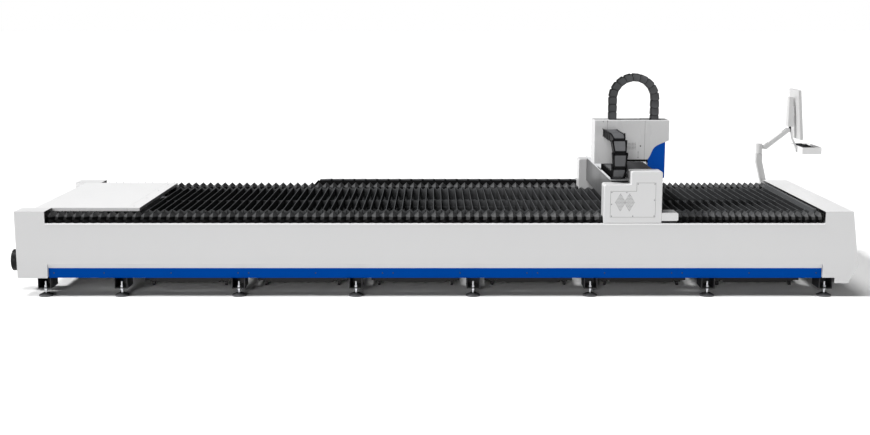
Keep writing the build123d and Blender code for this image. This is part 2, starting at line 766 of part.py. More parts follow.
def bellows_body(x, y, pitch, inset):
    """Folded tunnel with pleats on its top, sides and top corners, inset for its inside."""
    top = BELLOWS_TOP - inset
    depth = BELLOWS_DEPTH
    front = y[0] + inset
    back = y[1] - inset
    with BuildPart() as body:
        roof = fold_line(x, pitch, top, top - depth)
        prism_y(roof + [(x[1], BELLOWS_BOTTOM), (x[0], BELLOWS_BOTTOM)], (front, back))
        front_edge = fold_line(x, pitch, front, front + depth)
        back_edge = fold_line(x, pitch, back, back - depth)
        with BuildSketch(Plane.XY.offset(BELLOWS_BOTTOM)) as plan:
            with BuildLine():
                Polyline(*(front_edge + back_edge[::-1]), close=True)
            make_face()
        extrude(plan.sketch, amount=top - BELLOWS_BOTTOM, dir=(0, 0, 1), mode=Mode.INTERSECT)
        reach = 2 * (back - front + top - BELLOWS_BOTTOM)
        corner = BELLOWS_CHAMFER - inset * (2 - math.sqrt(2))
        for edge_y, inward in ((front, 1), (back, -1)):
            origin = (0, edge_y, top - corner)
            along = Vector(0, 1, inward)
            plane = Plane(origin=origin, x_dir=(1, 0, 0), z_dir=along)
            slope = fold_line(x, pitch, 0, depth)
            closing = [(x[1], reach), (x[0], reach)]
            with BuildSketch(plane) as corner_face:
                with BuildLine():
                    Polyline(*(slope + closing), close=True)
                make_face()
            extrude(corner_face.sketch, amount=reach, both=True, mode=Mode.INTERSECT)
    return body.part


bellows_y = {side: side_span(side, BELLOWS_SIDE_GAP, SIDE_WIDTH - BELLOWS_SIDE_GAP) for side in sides}
bellows_runs = {
    "front_left_bellows": ("front", SLOT_LEFT + FACE_GAP, GANTRY_LEFT - FACE_GAP, LEFT_FOLD_PITCH),
    "front_right_bellows": ("front", MOTOR_BOX_RIGHT + FACE_GAP, SLOT_RIGHT - FACE_GAP, RIGHT_FOLD_PITCH),
    "rear_left_bellows": ("rear", SLOT_LEFT + FACE_GAP, GANTRY_LEFT - FACE_GAP, LEFT_FOLD_PITCH),
    "rear_right_bellows": ("rear", GANTRY_RIGHT + FACE_GAP, SLOT_RIGHT - FACE_GAP, RIGHT_FOLD_PITCH),
}

# Rail bellows: thin folded tunnels, open underneath
for name, (side, left, right, pitch) in bellows_runs.items():
    shell = bellows_body((left, right), bellows_y[side], pitch, 0)
    inside = bellows_body((left, right), bellows_y[side], pitch, BELLOWS_WALL)
    with BuildPart() as bellows:
        add(shell)
        add(inside, mode=Mode.SUBTRACT)
    write_piece(bellows, name)

# Foot brackets: short box sections, open at the outer end
foot_spots = [(x, side) for x in foot_places for side in sides]
foot_row = {"front": FOOT_ROW_FRONT, "rear": foot_row_back}
with BuildPart() as foot_brackets:
    for x, side in foot_spots:
        half = BRACKET_WIDTH / 2
        y = side_span(side, BRACKET_INSET, BRACKET_INSET + BRACKET_LENGTH)
        block((x - half, x + half), y, (BRACKET_BOTTOM, cross_bottom))
        inner = half - BRACKET_WALL
        hollow_z = (BRACKET_BOTTOM + BRACKET_WALL, cross_bottom - BRACKET_WALL)
        hollow_y = side_span(side, BRACKET_INSET, BRACKET_INSET + BRACKET_LENGTH - BRACKET_WALL)
        block((x - inner, x + inner), hollow_y, hollow_z, mode=Mode.SUBTRACT)
        strip_y = side_span(side, BRACKET_INSET, RECESS_DEPTH + SHEET + FACE_GAP)
        block((x - half, x + half), strip_y, (STRIP_BOTTOM - FACE_GAP, cross_bottom), mode=Mode.SUBTRACT)
        hole_z = (BRACKET_BOTTOM, BRACKET_BOTTOM + BRACKET_WALL)
        post(x, foot_row[side], STUD_RADIUS + FACE_GAP, hole_z, mode=Mode.SUBTRACT)
write_piece(foot_brackets, "foot_brackets")

# Foot pads: turned discs with a raised hub
with BuildPart() as foot_pads:
    with BuildSketch(Plane.XZ) as pad_half:
        with BuildLine():
            Polyline(
                (0, 0),
                (PAD_RADIUS, 0),
                (PAD_RADIUS, PAD_EDGE),
                (PAD_HUB_RADIUS, PAD_HUB_TOP),
                (0, PAD_HUB_TOP),
                close=True,
            )
        make_face()
    pad = revolve(pad_half.sketch, axis=Axis.Z, mode=Mode.PRIVATE)
    with Locations(*[(x, foot_row[side], 0) for x, side in foot_spots]):
        add(pad)
write_piece(foot_pads, "foot_pads")

# Levelling studs, each with a nut under and over the bracket floor
with BuildPart() as foot_studs:
    for x, side in foot_spots:
        post(x, foot_row[side], STUD_RADIUS, (PAD_HUB_TOP, STUD_TOP))
        for nut_bottom in (BRACKET_BOTTOM - NUT_HEIGHT, BRACKET_BOTTOM + BRACKET_WALL):
            with BuildSketch(Plane.XY.offset(nut_bottom)):
                with Locations((x, foot_row[side])):
                    RegularPolygon(NUT_ACROSS / 2, 6, major_radius=False)
            extrude(amount=NUT_HEIGHT)
write_piece(foot_studs, "foot_studs")


def cart_outline(middle, inset):
    """Cart in front view: a tray with a sunk pan between its castors, inset on every side."""
    rim = CART_LENGTH / 2 - inset
    pan = PAN_LENGTH / 2 - inset
    return [
        (middle - rim, CART_TOP),
        (middle - rim, CART_BOTTOM + inset),
        (middle - pan - PAN_SLOPE, CART_BOTTOM + inset),
        (middle - pan, PAN_BOTTOM + inset),
        (middle + pan, PAN_BOTTOM + inset),
        (middle + pan + PAN_SLOPE, CART_BOTTOM + inset),
        (middle + rim, CART_BOTTOM + inset),
        (middle + rim, CART_TOP),
    ]


# Slag carts: low trays on four fixed castors, rolled out under the front panel
cart_y = (BED_FRONT + CART_FRONT, BED_FRONT + CART_FRONT + CART_DEPTH)
for number, (left, right) in enumerate(bays, start=1):
    middle = (left + right) / 2
    with BuildPart() as cart:
        prism_y(cart_outline(middle, 0), cart_y)
        hollow_y = (cart_y[0] + CART_WALL, cart_y[1] - CART_WALL)
        prism_y(cart_outline(middle, CART_WALL), hollow_y, mode=Mode.SUBTRACT)
        for castor_x in (middle - CASTOR_SPREAD / 2, middle + CASTOR_SPREAD / 2):
            for castor_y in (cart_y[0] + CASTOR_INSET, cart_y[1] - CASTOR_INSET):
                fork_x = (castor_x - FORK_WIDTH / 2, castor_x + FORK_WIDTH / 2)
                fork_y = (castor_y - FORK_LENGTH / 2, castor_y + FORK_LENGTH / 2)
                block(fork_x, fork_y, (2 * CASTOR_RADIUS - FORK_LAP, CART_BOTTOM))
                with BuildSketch(Plane.YZ.offset(castor_x - CASTOR_WIDTH / 2)) as tyre:
                    with Locations((castor_y, CASTOR_RADIUS)):
                        Circle(CASTOR_RADIUS)
                extrude(tyre.sketch, amount=CASTOR_WIDTH, dir=(1, 0, 0), mode=Mode.ADD)
    write_piece(cart, f"slag_cart_{number}")


def housing_outline(inset):
    """L-shaped gantry end, inset on every side."""
    return [
        (GANTRY_LEFT + inset, GANTRY_BOTTOM + inset),
        (GANTRY_LEFT + inset, GANTRY_SHELF - inset),
        (GANTRY_STEP_X + inset, GANTRY_SHELF - inset),
        (GANTRY_STEP_X + inset, GANTRY_TOP - inset),
        (GANTRY_RIGHT - inset, GANTRY_TOP - inset),
        (GANTRY_RIGHT - inset, GANTRY_BOTTOM + inset),
    ]


def beam_outline(inset):
    """L section of the gantry beam."""
    return [
        (BEAM_LEFT + inset, BEAM_BOTTOM + inset),
        (BEAM_LEFT + inset, BEAM_SHELF - inset),
        (BEAM_STEP_X + inset, BEAM_SHELF - inset),
        (BEAM_STEP_X + inset, BEAM_TOP - inset),
        (BEAM_RIGHT - inset, BEAM_TOP - inset),
        (BEAM_RIGHT - inset, BEAM_BOTTOM + inset),
    ]


def housing_shell(y, open_side):
    """Gantry end cover, open underneath, with a cut-out for the beam in its inner wall."""
    hollow_y = (y[0] + HOUSING_WALL, y[1] - HOUSING_INNER_WALL)
    inner_wall_y = (y[1] - HOUSING_INNER_WALL, y[1])
    outside_y = y[0]
    if open_side < 0:
        hollow_y = (y[0] + HOUSING_INNER_WALL, y[1] - HOUSING_WALL)
        inner_wall_y = (y[0], y[0] + HOUSING_INNER_WALL)
        outside_y = y[1]
    outer = housing_outline(0)
    hollow = housing_outline(HOUSING_WALL)
    with BuildPart() as housing:
        rounded_prism_y(outer, y, HOUSING_ROUND, (outer[0], outer[2], outer[5]))
        outside = housing.faces().filter_by(Axis.Y).sort_by(lambda face: abs(face.center().Y - outside_y))[0]
        chamfer(outside.edges(), HOUSING_EDGE)
        sharp = (hollow[0], hollow[2], hollow[5])
        rounded_prism_y(hollow, hollow_y, HOUSING_ROUND - HOUSING_WALL, sharp, mode=Mode.SUBTRACT)
        inner = (GANTRY_LEFT + HOUSING_WALL, GANTRY_RIGHT - HOUSING_WALL)
        block(inner, hollow_y, (GANTRY_BOTTOM, GANTRY_BOTTOM + HOUSING_WALL), mode=Mode.SUBTRACT)
        prism_y(beam_outline(-FACE_GAP), inner_wall_y, mode=Mode.SUBTRACT)
    return housing


# Front end housing of the gantry, with a window behind the service panel
front_y = (BED_FRONT, BED_FRONT + HOUSING_DEPTH)


def service_outline(inset):
    """L-shaped service panel, inset on every side."""
    return [
        (SERVICE_LEFT + inset, SERVICE_BOTTOM + inset),
        (SERVICE_LEFT + inset, SERVICE_STEP_Z - inset),
        (SERVICE_STEP_X + inset, SERVICE_STEP_Z - inset),
        (SERVICE_STEP_X + inset, SERVICE_TOP - inset),
        (SERVICE_RIGHT - inset, SERVICE_TOP - inset),
        (SERVICE_RIGHT - inset, SERVICE_BOTTOM + inset),
    ]


front_housing = housing_shell(front_y, 1)
with front_housing:
    window_y = (BED_FRONT, BED_FRONT + HOUSING_WALL)
    prism_y(service_outline(SERVICE_LAP), window_y, mode=Mode.SUBTRACT)
write_piece(front_housing, "front_end_housing")

# Rear end housing of the gantry, with the plate that pulls the long drag chain
rear_y = (REAR_HOUSING_FRONT, REAR_HOUSING_FRONT + REAR_HOUSING_DEPTH)
rear_housing = housing_shell(rear_y, -1)
with rear_housing:
    arm_x = (LONG_CHAIN_END_X - ARM_PLATE_LENGTH, LONG_CHAIN_END_X)
    arm_bottom = LONG_CHAIN_TOP + FACE_GAP
    block(arm_x, (rear_y[1], LONG_CHAIN_Y[1]), (arm_bottom, arm_bottom + ARM_PLATE))
    block(arm_x, (rear_y[1], rear_y[1] + ARM_PLATE), (arm_bottom, arm_bottom + ARM_PLATE_LENGTH))
write_piece(rear_housing, "rear_end_housing")

# Service panel: screwed plate with two diamonds of vent holes
vent_spots = []
for centre in VENT_CENTRES:
    for row in range(-VENT_ROWS, VENT_ROWS + 1):
        count = VENT_ROWS + 1 - abs(row)
        for i in range(count):
            vent_spots.append((centre + VENT_STEP_X * (i - (count - 1) / 2), VENT_Z + VENT_STEP_Z * row))
left_screws = SERVICE_LEFT + SERVICE_SCREW_INSET
right_screws = SERVICE_RIGHT - SERVICE_SCREW_INSET
low_screws = SERVICE_BOTTOM + SERVICE_SCREW_INSET
service_screws = [
    (left_screws, low_screws),
    (left_screws, (SERVICE_BOTTOM + SERVICE_STEP_Z) / 2),
    (left_screws, SERVICE_STEP_Z - SERVICE_SCREW_INSET),
    ((left_screws + right_screws) / 2, low_screws),
    (right_screws, low_screws),
    (right_screws, (SERVICE_BOTTOM + SERVICE_TOP) / 2),
    (right_screws, SERVICE_TOP - SERVICE_SCREW_INSET),
    (SERVICE_STEP_X + SERVICE_SCREW_INSET, SERVICE_TOP - SERVICE_SCREW_INSET),
    ((VENT_CENTRES[0] + VENT_CENTRES[1]) / 2 + VENT_STEP_X, SERVICE_STEP_Z - SERVICE_SCREW_INSET),
]
plate_y = (BED_FRONT - SERVICE_PLATE, BED_FRONT)
with BuildPart() as service_panel:
    prism_y(service_outline(0), plate_y)
    with BuildSketch(Plane.XZ.offset(-plate_y[0])) as vents:
        with Locations(*vent_spots):
            Circle(VENT_HOLE_RADIUS)
    extrude(vents.sketch, amount=SERVICE_PLATE, dir=(0, 1, 0), mode=Mode.SUBTRACT)
    for x, z in service_screws:
        across(x, z, SERVICE_SCREW_RADIUS, (plate_y[0] - SERVICE_PLATE, plate_y[0]))
write_piece(service_panel, "service_panel")

# Small box on the gantry that takes the end of the right bellows
with BuildPart() as motor_box:
    for inset, mode in ((0, Mode.ADD), (HOUSING_WALL, Mode.SUBTRACT)):
        y = (BED_FRONT + inset, BED_FRONT + MOTOR_BOX_DEPTH - inset)
        low_left = (GANTRY_RIGHT, MOTOR_BOX_BOTTOM + inset)
        high_left = (GANTRY_RIGHT, MOTOR_BOX_TOP - inset)
        high_right = (MOTOR_BOX_RIGHT - inset, MOTOR_BOX_TOP - inset)
        low_right = (MOTOR_BOX_RIGHT - inset, MOTOR_BOX_BOTTOM + inset)
        box_section = (low_left, high_left, high_right, low_right)
        rounded_prism_y(box_section, y, MOTOR_BOX_ROUND - inset, (low_left, high_left), mode=mode)
write_piece(motor_box, "motor_box")

# Gantry beam, from the front saddle to the rear saddle
saddle_front = side_span("front", SADDLE_OFFSET, SADDLE_OFFSET + SADDLE_DEPTH)
saddle_rear = side_span("rear", SADDLE_OFFSET, SADDLE_OFFSET + SADDLE_DEPTH)
beam_y = (front_y[1], rear_y[0])
with BuildPart() as beam:
    prism_y(beam_outline(0), beam_y)
    prism_y(beam_outline(BEAM_WALL), beam_y, mode=Mode.SUBTRACT)
    for y in ((saddle_front[1], beam_y[0]), (beam_y[1], saddle_rear[0])):
        block((BEAM_STEP_X, BEAM_RIGHT), y, (BEAM_BOTTOM, BEAM_TOP))
write_piece(beam, "gantry_beam")

# Carriages: plate, saddle tube and bearing blocks at each end of the beam
with BuildPart() as carriages:
    for side in sides:
        plate_span = side_span(side, PLATE_OFFSET, PLATE_OFFSET + PLATE_DEPTH)
        block((PLATE_LEFT, PLATE_RIGHT), plate_span, (PLATE_BOTTOM, PLATE_TOP))
        saddle_y = side_span(side, SADDLE_OFFSET, SADDLE_OFFSET + SADDLE_DEPTH)
        block((BEAM_STEP_X, SADDLE_RIGHT), saddle_y, (PLATE_TOP, BEAM_TOP))
        hollow_x = (BEAM_STEP_X + BEAM_WALL, SADDLE_RIGHT - BEAM_WALL)
        hollow_y = (saddle_y[0] + BEAM_WALL, saddle_y[1] - BEAM_WALL)
        block(hollow_x, hollow_y, (PLATE_TOP, BEAM_TOP - BEAM_WALL), mode=Mode.SUBTRACT)
        shaft_y = side_place(side, DRIVE_OFFSET)
        post(DRIVE_X, shaft_y, SHAFT_RADIUS + FACE_GAP, (PLATE_BOTTOM, PLATE_TOP), mode=Mode.SUBTRACT)
        for block_left in (DRIVE_X + PINION_RADIUS + PINION_TOOTH, PLATE_RIGHT - BLOCK_LENGTH):
            block_x = (block_left, block_left + BLOCK_LENGTH)
            half = BLOCK_WIDTH / 2
            block(block_x, side_span(side, RAIL_OFFSET - half, RAIL_OFFSET + half), (BLOCK_BOTTOM, PLATE_BOTTOM))
            groove = RAIL_WIDTH / 2 + RUNNING_GAP
            groove_z = (BLOCK_BOTTOM, BEAM_TUBE_TOP + RAIL_HEIGHT + RUNNING_GAP)
            groove_y = side_span(side, RAIL_OFFSET - groove, RAIL_OFFSET + groove)
            block(block_x, groove_y, groove_z, mode=Mode.SUBTRACT)
write_piece(carriages, "carriages")

# Drive motors of the gantry, standing on the carriage plates
with BuildPart() as drive_motors:
    for side in sides:
        y = side_place(side, DRIVE_OFFSET)
        half = MOTOR_SIDE / 2
        block((DRIVE_X - half, DRIVE_X + half), (y - half, y + half), (PLATE_TOP, PLATE_TOP + MOTOR_HEIGHT))
write_piece(drive_motors, "drive_motors")


def pinion_body(x, y, radius, z, hub_top):
    """Toothed pinion with a hub, turning about an upright axis."""
    tip = radius
    root = radius - PINION_TOOTH
    points = []
    for tooth in range(PINION_TEETH):
        for share, reach in ((0.0, root), (0.2, tip), (0.45, tip), (0.65, root)):
            angle = 2 * math.pi * (tooth + share) / PINION_TEETH
            points.append((x + reach * math.cos(angle), y + reach * math.sin(angle)))
    with BuildPart() as pinion:
        with BuildSketch(Plane.XY.offset(z[0])):
            with BuildLine():
                Polyline(*points, close=True)
            make_face()
        extrude(amount=z[1] - z[0])
        post(x, y, PINION_HUB_RADIUS, (z[1], hub_top))
    return pinion


# Gantry drive pinions
for side in sides:
    pinion_y = side_place(side, DRIVE_OFFSET)
    drive_pinion = pinion_body(DRIVE_X, pinion_y, PINION_RADIUS, (PINION_BOTTOM, PINION_TOP), PINION_HUB_TOP)
    write_piece(drive_pinion, f"{side}_pinion")

# Rails and rack on the gantry beam
with BuildPart() as beam_rails:
    rail_half = BEAM_RAIL_WIDTH / 2
    rail_z = (BEAM_TOP, BEAM_TOP + BEAM_RAIL_HEIGHT)
    block((BEAM_RAIL_X - rail_half, BEAM_RAIL_X + rail_half), beam_y, rail_z)
    side_z = (SIDE_RAIL_Z - rail_half, SIDE_RAIL_Z + rail_half)
    block((BEAM_RIGHT, BEAM_RIGHT + BEAM_RAIL_HEIGHT), beam_y, side_z)
    rack_half = BEAM_RACK_WIDTH / 2
    block((BEAM_RACK_X - rack_half, BEAM_RACK_X + rack_half), beam_y, rail_z)
write_piece(beam_rails, "beam_rails")

# Tray of the short drag chain, a folded sheet on the low side of the beam
with BuildPart() as chain_tray:
    tray_section = [
        (TRAY_LEFT - TRAY_FLANGE, TRAY_WALL_TOP),
        (TRAY_LEFT + TRAY_SHEET, TRAY_WALL_TOP),
        (TRAY_LEFT + TRAY_SHEET, BEAM_SHELF + TRAY_SHEET),
        (BEAM_STEP_X, BEAM_SHELF + TRAY_SHEET),
        (BEAM_STEP_X, BEAM_SHELF),
        (TRAY_LEFT, BEAM_SHELF),
        (TRAY_LEFT, TRAY_WALL_TOP - TRAY_SHEET),
        (TRAY_LEFT - TRAY_FLANGE, TRAY_WALL_TOP - TRAY_SHEET),
    ]
    prism_y(tray_section, beam_y)
write_piece(chain_tray, "chain_tray")

# Flat bellows on the beam, in front of and behind the head
flat_runs = {
    "front_beam_bellows": (front_y[1] + FACE_GAP, HEAD_FRONT - FACE_GAP),
    "rear_beam_bellows": (HEAD_BACK + FACE_GAP, rear_y[0] - FACE_GAP),
}
for name, span in flat_runs.items():
    with BuildPart() as flat_bellows:
        roof = fold_line(span, FLAT_BELLOWS_PITCH, FLAT_BELLOWS_TOP, FLAT_BELLOWS_TOP - FLAT_BELLOWS_DEPTH)
        section = roof + [(span[1], FLAT_BELLOWS_SKIRT), (span[0], FLAT_BELLOWS_SKIRT)]
        prism_x(section, (FLAT_BELLOWS_LEFT, FLAT_BELLOWS_RIGHT))
        hollow_x = (FLAT_BELLOWS_LEFT + FLAT_BELLOWS_WALL, FLAT_BELLOWS_RIGHT - FLAT_BELLOWS_WALL)
        block(hollow_x, span, (FLAT_BELLOWS_SKIRT, FLAT_BELLOWS_BOTTOM), mode=Mode.SUBTRACT)
    write_piece(flat_bellows, name)


# Head housing: folded white cover with a curved lower corner and a slot in its top
head_y = (HEAD_FRONT, HEAD_BACK)
with BuildPart() as head_housing:
    with BuildSketch(Plane.XZ.offset(-HEAD_FRONT)) as head_outline:
        with BuildLine():
            Polyline(
                (HEAD_NOTCH_RIGHT, HEAD_NOTCH_TOP),
                (HEAD_NOTCH_LEFT, HEAD_NOTCH_TOP),
                (HEAD_NOTCH_LEFT, HEAD_BOTTOM),
                (HEAD_LEFT, HEAD_BOTTOM),
                (HEAD_LEFT, HEAD_TOP),
                (HEAD_RIGHT, HEAD_TOP),
                (HEAD_RIGHT, HEAD_RIGHT_BOTTOM),
            )
            Spline((HEAD_RIGHT, HEAD_RIGHT_BOTTOM), *HEAD_CURVE, (HEAD_NOTCH_RIGHT, HEAD_NOTCH_TOP))
        make_face()
    extrude(head_outline.sketch, amount=HEAD_BACK - HEAD_FRONT, dir=(0, 1, 0))
    top_edges = head_housing.edges().group_by(Axis.Z)[-1]
    chamfer(top_edges, HEAD_EDGE)
    inner_y = (HEAD_FRONT + HEAD_WALL, HEAD_BACK - HEAD_WALL)
    inner_x = (HEAD_LEFT + HEAD_WALL, HEAD_RIGHT - HEAD_WALL)
    block(inner_x, inner_y, (HEAD_BOTTOM, HEAD_TOP - HEAD_WALL), mode=Mode.SUBTRACT)
    block(HEAD_SLOT_X, HEAD_SLOT_Y, (HEAD_TOP - HEAD_WALL, HEAD_TOP), mode=Mode.SUBTRACT)
    seam_x = (HEAD_SEAM_X - HEAD_SEAM_WIDTH / 2, HEAD_SEAM_X + HEAD_SEAM_WIDTH / 2)
    seam_y = (HEAD_FRONT, HEAD_FRONT + HEAD_SEAM_DEPTH)
    block(seam_x, seam_y, (HEAD_NOTCH_TOP, HEAD_TOP), mode=Mode.SUBTRACT)
write_piece(head_housing, "head_housing")

# Blue lower cover, tucked up inside the head housing and open underneath
with BuildPart() as lower_cover:
    cover_span = (HEAD_FRONT + LOWER_COVER_INSET, HEAD_BACK - LOWER_COVER_INSET)
    block((LOWER_COVER_LEFT, LOWER_COVER_RIGHT), cover_span, (LOWER_COVER_BOTTOM, LOWER_COVER_TOP))
    front_corner = lower_cover.faces().sort_by(Axis.X)[-1].edges().filter_by(Axis.Z)
    fillet(front_corner, LOWER_COVER_ROUND)
    hollow_x = (LOWER_COVER_LEFT, LOWER_COVER_RIGHT - HEAD_WALL)
    hollow_y = (cover_span[0] + HEAD_WALL, cover_span[1] - HEAD_WALL)
    block(hollow_x, hollow_y, (LOWER_COVER_BOTTOM, LOWER_COVER_TOP), mode=Mode.SUBTRACT)
write_piece(lower_cover, "head_lower_cover")

# Head carriage: plate over the beam, upright plate, bearing blocks, rails and screw motor
carriage_span = (CARRIAGE_Y - CARRIAGE_HALF, CARRIAGE_Y + CARRIAGE_HALF)
block_half = BEAM_BLOCK_WIDTH / 2
with BuildPart() as head_carriage:
    block((CARRIAGE_PLATE_LEFT, UPRIGHT_X[1]), carriage_span, CARRIAGE_PLATE_Z)
    block(UPRIGHT_X, carriage_span, UPRIGHT_Z)
    for offset in (-BEAM_BLOCK_SPREAD, BEAM_BLOCK_SPREAD):
        centre = CARRIAGE_Y + offset
        block_y = (centre - BEAM_BLOCK_LENGTH / 2, centre + BEAM_BLOCK_LENGTH / 2)
        top_x = (BEAM_RAIL_X - block_half, BEAM_RAIL_X + block_half)
        block(top_x, block_y, (BEAM_TOP + RUNNING_GAP + 5, CARRIAGE_PLATE_Z[0]))
        groove = BEAM_RAIL_WIDTH / 2 + RUNNING_GAP
        groove_x = (BEAM_RAIL_X - groove, BEAM_RAIL_X + groove)
        groove_top = BEAM_TOP + BEAM_RAIL_HEIGHT + RUNNING_GAP
        block(groove_x, block_y, (BEAM_TOP, groove_top), mode=Mode.SUBTRACT)
        side_z = (SIDE_RAIL_Z - block_half, SIDE_RAIL_Z + block_half)
        block((BEAM_RIGHT + 5, UPRIGHT_X[0]), block_y, side_z)
        groove_z = (SIDE_RAIL_Z - groove, SIDE_RAIL_Z + groove)
        groove_x = (BEAM_RIGHT, BEAM_RIGHT + BEAM_RAIL_HEIGHT + RUNNING_GAP)
        block(groove_x, block_y, groove_z, mode=Mode.SUBTRACT)
    for offset in (-Z_RAIL_SPREAD, Z_RAIL_SPREAD):
        rail_y = (CARRIAGE_Y + offset - Z_RAIL_WIDTH / 2, CARRIAGE_Y + offset + Z_RAIL_WIDTH / 2)
        block((UPRIGHT_X[1], UPRIGHT_X[1] + Z_RAIL_HEIGHT), rail_y, Z_RAIL_Z)
    half = SCREW_MOTOR_SIDE / 2
    motor_x = (UPRIGHT_X[1], UPRIGHT_X[1] + SCREW_MOTOR_SIDE)
    block(motor_x, (CARRIAGE_Y - half, CARRIAGE_Y + half), SCREW_MOTOR_Z)
    pinion_motor = MOTOR_SIDE / 2
    pinion_x = (BEAM_PINION_X - pinion_motor, BEAM_PINION_X + pinion_motor)
    pinion_y = (CARRIAGE_Y - pinion_motor, CARRIAGE_Y + pinion_motor)
    block(pinion_x, pinion_y, (CARRIAGE_PLATE_Z[1], CARRIAGE_PLATE_Z[1] + MOTOR_HEIGHT))
write_piece(head_carriage, "head_carriage")

# Pinion of the head drive
head_pinion_z = (BEAM_TOP + FACE_GAP, BEAM_TOP + BEAM_RAIL_HEIGHT)
head_pinion_top = CARRIAGE_PLATE_Z[0] - FACE_GAP
head_pinion = pinion_body(BEAM_PINION_X, CARRIAGE_Y, BEAM_PINION_RADIUS, head_pinion_z, head_pinion_top)
write_piece(head_pinion, "head_pinion")

# Ball screw of the vertical axis
with BuildPart() as ball_screw:
    post(SCREW_X, CARRIAGE_Y, SCREW_RADIUS, SCREW_Z)
write_piece(ball_screw, "ball_screw")

# Vertical slide: plate, bearing blocks and screw nut
with BuildPart() as vertical_slide:
    block(Z_PLATE_X, (CARRIAGE_Y - Z_PLATE_HALF, CARRIAGE_Y + Z_PLATE_HALF), Z_PLATE_Z)
    for offset in (-Z_RAIL_SPREAD, Z_RAIL_SPREAD):
        for centre in Z_BLOCK_CENTRES:
            half = Z_BLOCK_WIDTH / 2
            block_y = (CARRIAGE_Y + offset - half, CARRIAGE_Y + offset + half)
            block_z = (centre - Z_BLOCK_LENGTH / 2, centre + Z_BLOCK_LENGTH / 2)
            block((UPRIGHT_X[1] + 4, Z_PLATE_X[0]), block_y, block_z)
            groove = Z_RAIL_WIDTH / 2 + RUNNING_GAP
            groove_y = (CARRIAGE_Y + offset - groove, CARRIAGE_Y + offset + groove)
            groove_x = (UPRIGHT_X[1], UPRIGHT_X[1] + Z_RAIL_HEIGHT + RUNNING_GAP)
            block(groove_x, groove_y, block_z, mode=Mode.SUBTRACT)
    half = NUT_SIDE / 2
    block((SCREW_X - half, Z_PLATE_X[0]), (CARRIAGE_Y - half, CARRIAGE_Y + half), NUT_Z)
    post(SCREW_X, CARRIAGE_Y, SCREW_RADIUS + PIN_CLEARANCE, NUT_Z, mode=Mode.SUBTRACT)
write_piece(vertical_slide, "vertical_slide")

# Cutting head: body, neck and nozzle with its bore, and the fibre connector on top
with BuildPart() as cutting_head:
    half = CUTTER_SIDE / 2
    cutter_x = (CUTTER_X - half, CUTTER_X + half)
    block(cutter_x, (CARRIAGE_Y - half, CARRIAGE_Y + half), CUTTER_Z)
    block((Z_PLATE_X[1], CUTTER_X - half), (CARRIAGE_Y - half, CARRIAGE_Y + half), (Z_PLATE_Z[0], CUTTER_Z[1]))
    post(CUTTER_X, CARRIAGE_Y, CUTTER_NECK_RADIUS, (CUTTER_NECK_BOTTOM, CUTTER_Z[0]))
    post(CUTTER_X, CARRIAGE_Y, FIBRE_RADIUS, (CUTTER_Z[1], FIBRE_TOP))
    with BuildSketch(Plane.XZ.offset(-CARRIAGE_Y)):
        with BuildLine():
            Polyline(
                (CUTTER_X, CUTTER_NECK_BOTTOM),
                (CUTTER_X + NOZZLE_BODY_RADIUS, CUTTER_NECK_BOTTOM),
                (CUTTER_X + NOZZLE_BODY_RADIUS, NOZZLE_SHOULDER),
                (CUTTER_X + NOZZLE_TIP_RADIUS, NOZZLE_TIP),
                (CUTTER_X, NOZZLE_TIP),
                close=True,
            )
        make_face()
    revolve(axis=Axis((CUTTER_X, CARRIAGE_Y, 0), (0, 0, 1)))
    bore_z = (NOZZLE_TIP, NOZZLE_TIP + NOZZLE_BORE_DEPTH)
    post(CUTTER_X, CARRIAGE_Y, NOZZLE_BORE_RADIUS, bore_z, mode=Mode.SUBTRACT)
write_piece(cutting_head, "cutting_head")


def link_outline(pitch, radius, thickness, corner):
    """Chain link in side view: cut corners outside, tapered inside so that it can bend."""
    a = (pitch - CHAIN_GAP) / 2
    b = thickness / 2
    taper = b * math.tan(pitch / radius / 2)
    return [
        (-a, 0),
        (-a + taper, -b),
        (a - taper, -b),
        (a, 0),
        (a, b - corner),
        (a - corner, b),
        (-a + corner, b),
        (-a, b - corner),
    ]


def loop_place(distance, first_run, radius):
    """Along and height from the top of the bend for a chain that goes out, round and back."""
    bend = math.pi * radius
    if distance < first_run:
        return first_run - distance, 0.0, 0.0
    if distance < first_run + bend:
        angle = (distance - first_run) / radius
        return -radius * math.sin(angle), radius * (math.cos(angle) - 1), angle
    return distance - first_run - bend, -2 * radius, math.pi


def chain_links(plane, links, pitch, first_run, radius, thickness, corner, width):
    """Links placed one by one along the path, in the given plane."""
    outline = link_outline(pitch, radius, thickness, corner)
    with BuildPart() as chain:
        for i in range(links):
            along, height, angle = loop_place(pitch * (i + 0.5), first_run, radius)
            turned = []
            for a, b in outline:
                turned.append((
                    along + a * math.cos(angle) - b * math.sin(angle),
                    height + a * math.sin(angle) + b * math.cos(angle),
                ))
            with BuildSketch(plane) as link:
                with BuildLine():
                    Polyline(*turned, close=True)
                make_face()
            extrude(link.sketch, amount=width / 2, both=True)
    return chain


# Short drag chain: along Y beside the head, round a bend in front and back in the tray
short_radius = SHORT_CHAIN_OUTER_RADIUS - SHORT_CHAIN_THICKNESS / 2
short_plane = Plane(
    origin=(
        (SHORT_CHAIN_X[0] + SHORT_CHAIN_X[1]) / 2,
        HEAD_FRONT - FACE_GAP - SHORT_CHAIN_UPPER_RUN,
        SHORT_CHAIN_TOP - SHORT_CHAIN_THICKNESS / 2,
    ),
    x_dir=(0, 1, 0),
    z_dir=(1, 0, 0),
)
short_chain = chain_links(
    short_plane,
    SHORT_CHAIN_LINKS,
    SHORT_CHAIN_PITCH,
    SHORT_CHAIN_UPPER_RUN,
    short_radius,
    SHORT_CHAIN_THICKNESS,
    SHORT_CHAIN_CHAMFER,
    SHORT_CHAIN_X[1] - SHORT_CHAIN_X[0],
)
write_piece(short_chain, "short_drag_chain")

